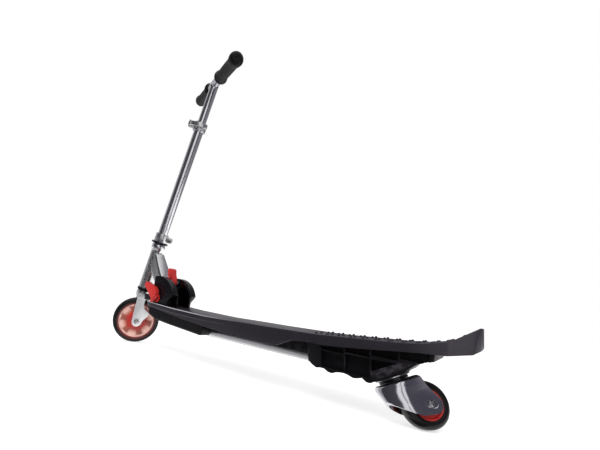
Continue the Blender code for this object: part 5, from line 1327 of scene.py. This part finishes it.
def front_frame():
    """Head tube and wide down tube, welded, with two ears for the paddle and a black knuckle cover."""
    bright = MATERIALS["frame"]
    body = lathe("front_frame_finished", HEAD_SECTION, HEAD, bright)
    down_tube = side_form("down_tube", DOWN_TUBE, DOWN_TUBE_HALF, BOARD, bright)
    combine(body, softened(down_tube, DOWN_TUBE_ROUND, 4, 55), 'UNION')
    ear = curve_points(*PADDLE_PIN, EAR_RADIUS, 70, -110, 10) + EAR_ROOT
    for span in EAR_SPANS:
        plate = side_plate("paddle_ear", ear, span, BOARD, bright)
        combine(body, softened(plate, EAR_ROUND, 3, 60), 'UNION')
    combine(body, rod("steerer_bore", *HEAD_BORE, HEAD))
    shade(body.data, 32)
    hide_node(body, "front_frame")
    outline = curve_points(*KNUCKLE_ARC) + KNUCKLE_TOP
    knuckle = side_form("knuckle_cover", outline, KNUCKLE_HALF, BOARD, MATERIALS["cover"])
    softened(knuckle, KNUCKLE_ROUND, 3, 50)
    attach(knuckle, BODY_OF["front_frame"])


def hood_loft(name, sections, rear, material=None):
    """A closed loft through U-shaped rings, given as height, radius and half width."""
    solid = bmesh.new()
    rings = []
    for height, radius, half in sections:
        outline = curve_points(0, 0, radius, 90, 270, 36) + [(rear, -half), (rear, half)]
        rings.append([solid.verts.new((x, y, height)) for x, y in outline])
    loft(solid, rings)
    return from_bmesh(name, solid, CASTER, material)


def caster_hood():
    """The pressed hood over the caster wheel, with a rounded crown and trimmed legs."""
    crown = []
    for turn in range(0, 91, 15):
        drop = HOOD_CROWN * (1 - cos(radians(turn)))
        tuck = HOOD_CROWN * (1 - sin(radians(turn)))
        crown.append((HOOD_TOP - drop, HOOD_RADIUS - tuck, HOOD_SHOULDER - tuck * HOOD_CROWN_SIDE))
    piece = hood_loft("caster_fork_finished", crown + list(HOOD_SECTIONS), HOOD_REAR, MATERIALS["plated"])
    side = HOOD_FRONT_EDGE + curve_points(*HOOD_LEG_ARC) + HOOD_REAR_EDGE
    combine(piece, side_plate("hood_side", side, (-CUT_THROUGH, CUT_THROUGH), CASTER), 'INTERSECT')
    inner = [(height, radius - HOOD_WALL, half - HOOD_WALL) for height, radius, half in (
        (HOOD_TOP - HOOD_WALL, HOOD_RADIUS - HOOD_INNER_TUCK[0], HOOD_SHOULDER - HOOD_INNER_TUCK[1]),
        (crown[-1][0] - HOOD_WALL, *crown[-1][1:]), *HOOD_SECTIONS[:-1],
        (HOOD_SECTIONS[-1][0] - CUT_EXTRA, *HOOD_SECTIONS[-1][1:]))]
    combine(piece, hood_loft("hood_inside", inner, HOOD_INNER_REAR))
    for radius, top, bottom, place in HOOD_BORES:
        combine(piece, rod("hood_bore", radius, top, bottom, place, steps=COARSE))
    hide_node(softened(piece, HOOD_ROUND, 3, 60, 40), "caster_fork")


def spine_tube():
    """The silver tube under the board."""
    low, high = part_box("spine_tube")
    middle = (low + high) / 2 - Vector((0, 0, SPINE_DROP))
    reach = (high.x - low.x) / 2
    piece = tube("spine_tube_finished", (high.z - low.z) / 2, SPINE_WALL, reach, -reach,
                 basis(middle, ALONG, ACROSS), MATERIALS["spine"])
    hide_node(piece, "spine_tube")


class SCOOTER_OT_mouldings(bpy.types.Operator):
    """Housings, keel, hinge covers and the red levers"""

    bl_idname = "scooter.mouldings"
    bl_label = "Finish the mouldings"

    def execute(self, context):
        width = panel_values()[1].edge_round
        round_nodes(MOULDINGS, width)
        front_hull()
        rear_block(width)
        for word in ("left", "right"):
            hinge_cover("hinge_cover_" + word)
        thumb_paddle()
        return {'FINISHED'}


def rear_block(width):
    """The ribbed housing that carries the caster, with the open cell over the caster's seat."""
    piece = start_piece("rear_housing", merged_copy("rear_housing"), "housing")
    for span in SEAT_CELL_SPANS:
        combine(piece, side_plate("seat_cell", SEAT_CELL, span, BOARD))
    hide_node(softened(piece, width), "rear_housing")


def hinge_cover(node):
    """A moulded quarter round over the hinge, with a soft rim and a fine groove."""
    low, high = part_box(node)
    foot = height_on(BOARD_TOP, COVER_FRONT) + COVER_OVER_BOARD
    outline = [(COVER_FRONT, foot)] + curve_points(*COVER_ARC) + COVER_REAR
    piece = side_plate(node + "_finished", outline, (low.y, high.y), BOARD, MATERIALS["cover"])
    softened(piece, COVER_ROUND, 5, 40)
    groove = curve_points(*GROOVE_ARCS[0]) + curve_points(*GROOVE_ARCS[1])
    outer, outward = (high.y, GROOVE_DEPTH) if high.y > 0 else (low.y, -GROOVE_DEPTH)
    combine(piece, side_plate("cover_groove", groove, sorted((outer - outward, outer + outward * 5)), BOARD))
    combine(piece, rod("cover_bore", COVER_BORE, CUT_THROUGH, -CUT_THROUGH, PIVOT, steps=28))
    shade(piece.data, 32)
    hide_node(piece, node)


def front_hull():
    """The housing under the nose: a smooth hull with a rounded keel edge and heel, and faint rib marks."""
    solid = bmesh.new()
    front, rear = HULL_ENDS
    rings = []
    for i in range(HULL_STEPS + 1):
        x = front + (rear - front) * i / HULL_STEPS
        low = height_on(HULL_BELLY, x)
        run = x - (rear - HULL_HEEL)
        if run > 0:
            low += HULL_HEEL - sqrt(max(0.0, HULL_HEEL ** 2 - run ** 2))
        high = height_on(BOARD_TOP, x) - HULL_BELOW_TOP
        near = []
        for k in range(HULL_ROWS + 1):
            z = low + (high - low) * (k / HULL_ROWS) ** HULL_ROW_CROWDING
            half = min(height_on(HULL_FLANK, z), height_on(HULL_PLAN, x))
            rise = z - low
            if rise < HULL_KEEL_ROUND:
                half -= HULL_KEEL_ROUND - sqrt(HULL_KEEL_ROUND ** 2 - (HULL_KEEL_ROUND - rise) ** 2)
            slant = (x + MARK_SLANT * z - MARK_START) % MARK_PITCH
            mark = max(0.0, 1 - abs(slant - MARK_PITCH / 2) / MARK_HALF_WIDTH)
            near.append((x, half - MARK_DEPTH * mark * soft_step(rise, *MARK_FADE), z))
        rings.append([solid.verts.new((x, -y, z)) for x, y, z in near]
                     + [solid.verts.new(spot) for spot in reversed(near)])
    loft(solid, rings)
    hide_node(from_bmesh("front_housing_finished", solid, BOARD, MATERIALS["housing"], 30), "front_housing")


def thumb_paddle():
    """The red thumb paddle: a narrow tongue with a round tip over its pin."""
    outline = curve_points(*PADDLE_PIN, PADDLE_BARREL, 200, 340, 6) + eased(PADDLE_TONGUE)
    piece = side_plate("release_paddle_finished", outline, (-PADDLE_HALF_WIDTH, PADDLE_HALF_WIDTH), BOARD,
                       MATERIALS["red"])
    hide_node(softened(piece, PADDLE_ROUND, 4, 50, 40), "release_paddle")


class SCOOTER_OT_board(bpy.types.Operator):
    """The board, the domed studs on its rear half, its lip bead with a painted highlight and its crease bead with
    a painted sheen
    """

    bl_idname = "scooter.board"
    bl_label = "Mould the board"

    def execute(self, context):
        sizes = panel_values()[1]
        solid = merged_copy("deck_board")
        spots = take_off_studs(solid)
        if not spots:
            raise RuntimeError("no stud was found on the board")
        hide_node(softened(start_piece("deck_board", solid, "board"), BOARD_ROUND), "deck_board")
        points = bpy.data.meshes.new("stud_points")
        points.from_pydata([spot for spot, _ in spots], [], [])
        upright = points.attributes.new("upright", 'FLOAT_VECTOR', 'POINT')
        for entry, (_, normal) in zip(upright.data, spots):
            entry.vector = normal
        studs = grown("board_studs", points, stud_tree(), {
            "Radius": sizes.stud_radius, "Height": sizes.stud_height, "Material": MATERIALS["board"]})
        beads = bead_tree()
        # The lip bead carries a painted highlight and the crease bead a painted sheen.
        lip = grown("board_lip_highlight", line_pair(LIP_ENDS, lip_spot), beads, {
            "Radius": LIP_RADIUS, "Material": MATERIALS["lip"]})
        crease = grown("board_crease_sheen", line_pair(CREASE_ENDS, crease_rule()), beads, {
            "Radius": CREASE_RADIUS, "Material": MATERIALS["crease"]})
        for piece in (studs, lip, crease):
            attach(piece, BODY_OF["deck_board"])
        return {'FINISHED'}


def line_pair(ends, spot_at):
    """Two lines of points along the board, one for each side, from a rule for a point."""
    spots = [spot_at(side, ends[0] + (ends[1] - ends[0]) * i / LINE_STEPS)
             for side in (-1, 1) for i in range(LINE_STEPS + 1)]
    path = bpy.data.meshes.new("board_line")
    path.from_pydata(spots, [(k, k + 1) for k in range(len(spots) - 1) if k != LINE_STEPS], [])
    return path


def lip_spot(side, x):
    """A point of the lip along the board's upper edge."""
    half = height_on(LIP_PLAN, x) - LIP_INSET
    return BOARD @ Vector((x, side * half, height_on(BOARD_TOP, x) - LIP_INSET))


def crease_rule():
    """The rule for a point of the crease, which is found on the board's flank."""
    mesh = frame["nodes"]["deck_board"].data
    tree = BVHTree.FromPolygons([v.co for v in mesh.vertices], [p.vertices for p in mesh.polygons])

    def crease_spot(side, x):
        z = height_on(BOARD_TOP, x) - height_on(CREASE_DROP, x)
        hit = tree.ray_cast(BOARD @ Vector((x, side * BEYOND_BOARD, z)), Vector((0, -side, 0)))[0]
        if hit is None:
            raise RuntimeError("the board's flank was not found for the crease")
        return hit - Vector((0, side * CREASE_INSET, 0))

    return crease_spot


def take_off_studs(solid):
    """Take the plain studs off the board, and give the places where they stood and which way is up."""
    spots = []
    doomed = set()
    for face in solid.faces:
        in_size = STUD_TOP_AREA[0] < face.calc_area() < STUD_TOP_AREA[1]
        if len(face.verts) == STUD_SIDES and in_size and face.normal.z > 0.5:
            spots.append((face.calc_center_median() - face.normal * STUD_RISE, face.normal.copy()))
            doomed.add(face)
            for edge in face.edges:
                doomed.update(edge.link_faces)
    bmesh.ops.delete(solid, geom=list(doomed), context='FACES')
    open_edges = [edge for edge in solid.edges if len(edge.link_faces) == 1]
    bmesh.ops.holes_fill(solid, edges=open_edges, sides=0)
    return spots


def new_growth(name, *sizes):
    """A Geometry Nodes tree that takes points or lines, named sizes and a material."""
    tree = bpy.data.node_groups.new(name, 'GeometryNodeTree')
    for title, kind in (("Geometry", 'NodeSocketGeometry'), *((title, NUMBER) for title in sizes),
                        ("Material", 'NodeSocketMaterial')):
        tree.interface.new_socket(title, in_out='INPUT', socket_type=kind)
    tree.interface.new_socket("Geometry", in_out='OUTPUT', socket_type='NodeSocketGeometry')
    return Graph(tree, grouped=True)


def end_growth(graph, geometry):
    """Make a tree's result real, give it its material and send it out."""
    real = graph.add("GeometryNodeRealizeInstances", Geometry=geometry)
    finish = graph.add("GeometryNodeSetMaterial", Geometry=real.outputs["Geometry"],
                       Material=graph.enter["Material"])
    graph.give(graph.leave, Geometry=finish.outputs["Geometry"])
    return graph.tree


def bead_tree():
    """Geometry Nodes that run a round bead along each line of a path."""
    graph = new_growth("Bead along a path", "Radius")
    line = graph.add("GeometryNodeMeshToCurve", Mesh=graph.enter["Geometry"])
    rim = graph.add("GeometryNodeCurvePrimitiveCircle", Resolution=10, Radius=graph.enter["Radius"])
    bead = graph.add("GeometryNodeCurveToMesh", Curve=line.outputs["Curve"],
                     Profile_Curve=rim.outputs["Curve"], Fill_Caps=True)
    return end_growth(graph, bead.outputs["Mesh"])


def stud_tree():
    """Geometry Nodes that stand one dome on every point of the board."""
    graph = new_growth("Domed studs", "Radius", "Height")
    enter = graph.enter
    dome = graph.add("GeometryNodeMeshUVSphere", Segments=12, Rings=6, Radius=1.0)
    smooth = graph.add("GeometryNodeSetShadeSmooth", Geometry=dome.outputs["Mesh"])
    up = graph.add("GeometryNodeInputNamedAttribute", data_type='FLOAT_VECTOR', Name="upright")
    lean = graph.add("FunctionNodeAlignRotationToVector", axis='Z', Vector=up.outputs["Attribute"])
    extent = graph.add("ShaderNodeCombineXYZ", enter["Radius"], enter["Radius"], enter["Height"])
    stand = graph.add("GeometryNodeInstanceOnPoints", Points=enter["Geometry"],
                      Instance=smooth.outputs["Geometry"], Rotation=lean.outputs["Rotation"],
                      Scale=extent.outputs["Vector"])
    return end_growth(graph, stand.outputs["Instances"])


STEPS = (
    "finishes", "tyres", "wheel_cores", "column", "headset", "handlebar", "grips", "plates", "board",
    "mouldings", "stage",
)


class SCOOTER_PT_looks(bpy.types.Panel):
    """The scooter's values and the steps that make it"""

    bl_idname = "SCOOTER_PT_looks"
    bl_label = "Caster scooter"
    bl_space_type = 'VIEW_3D'
    bl_region_type = 'UI'
    bl_category = "Scooter"

    def draw(self, context):
        layout = self.layout
        for values in panel_values():
            box = layout.box()
            for name in values.bl_rna.properties.keys():
                if name not in {"rna_type", "name"}:
                    box.prop(values, name)
        for step in STEPS:
            layout.operator("scooter." + step)


GROUPS = (
    ("scooter_colours", ScooterColours), ("scooter_sizes", ScooterSizes), ("scooter_stage", ScooterStage),
)
CLASSES = (
    ScooterColours, ScooterSizes, ScooterStage, SCOOTER_OT_finishes, SCOOTER_OT_tyres, SCOOTER_OT_wheel_cores,
    SCOOTER_OT_column, SCOOTER_OT_headset, SCOOTER_OT_handlebar, SCOOTER_OT_grips, SCOOTER_OT_plates,
    SCOOTER_OT_board, SCOOTER_OT_mouldings, SCOOTER_OT_stage, SCOOTER_PT_looks,
)


def register():
    """Register the classes and hang the values on the scene."""
    for item in CLASSES:
        bpy.utils.register_class(item)
    for name, group in GROUPS:
        setattr(bpy.types.Scene, name, bpy.props.PointerProperty(type=group))


def unregister():
    """Take the values and the classes away again."""
    for name, group in GROUPS:
        delattr(bpy.types.Scene, name)
    for item in reversed(CLASSES):
        bpy.utils.unregister_class(item)


def main():
    """Make every piece in order."""
    register()
    for step in STEPS:
        getattr(bpy.ops.scooter, step)()


if __name__ == "__main__":
    main()
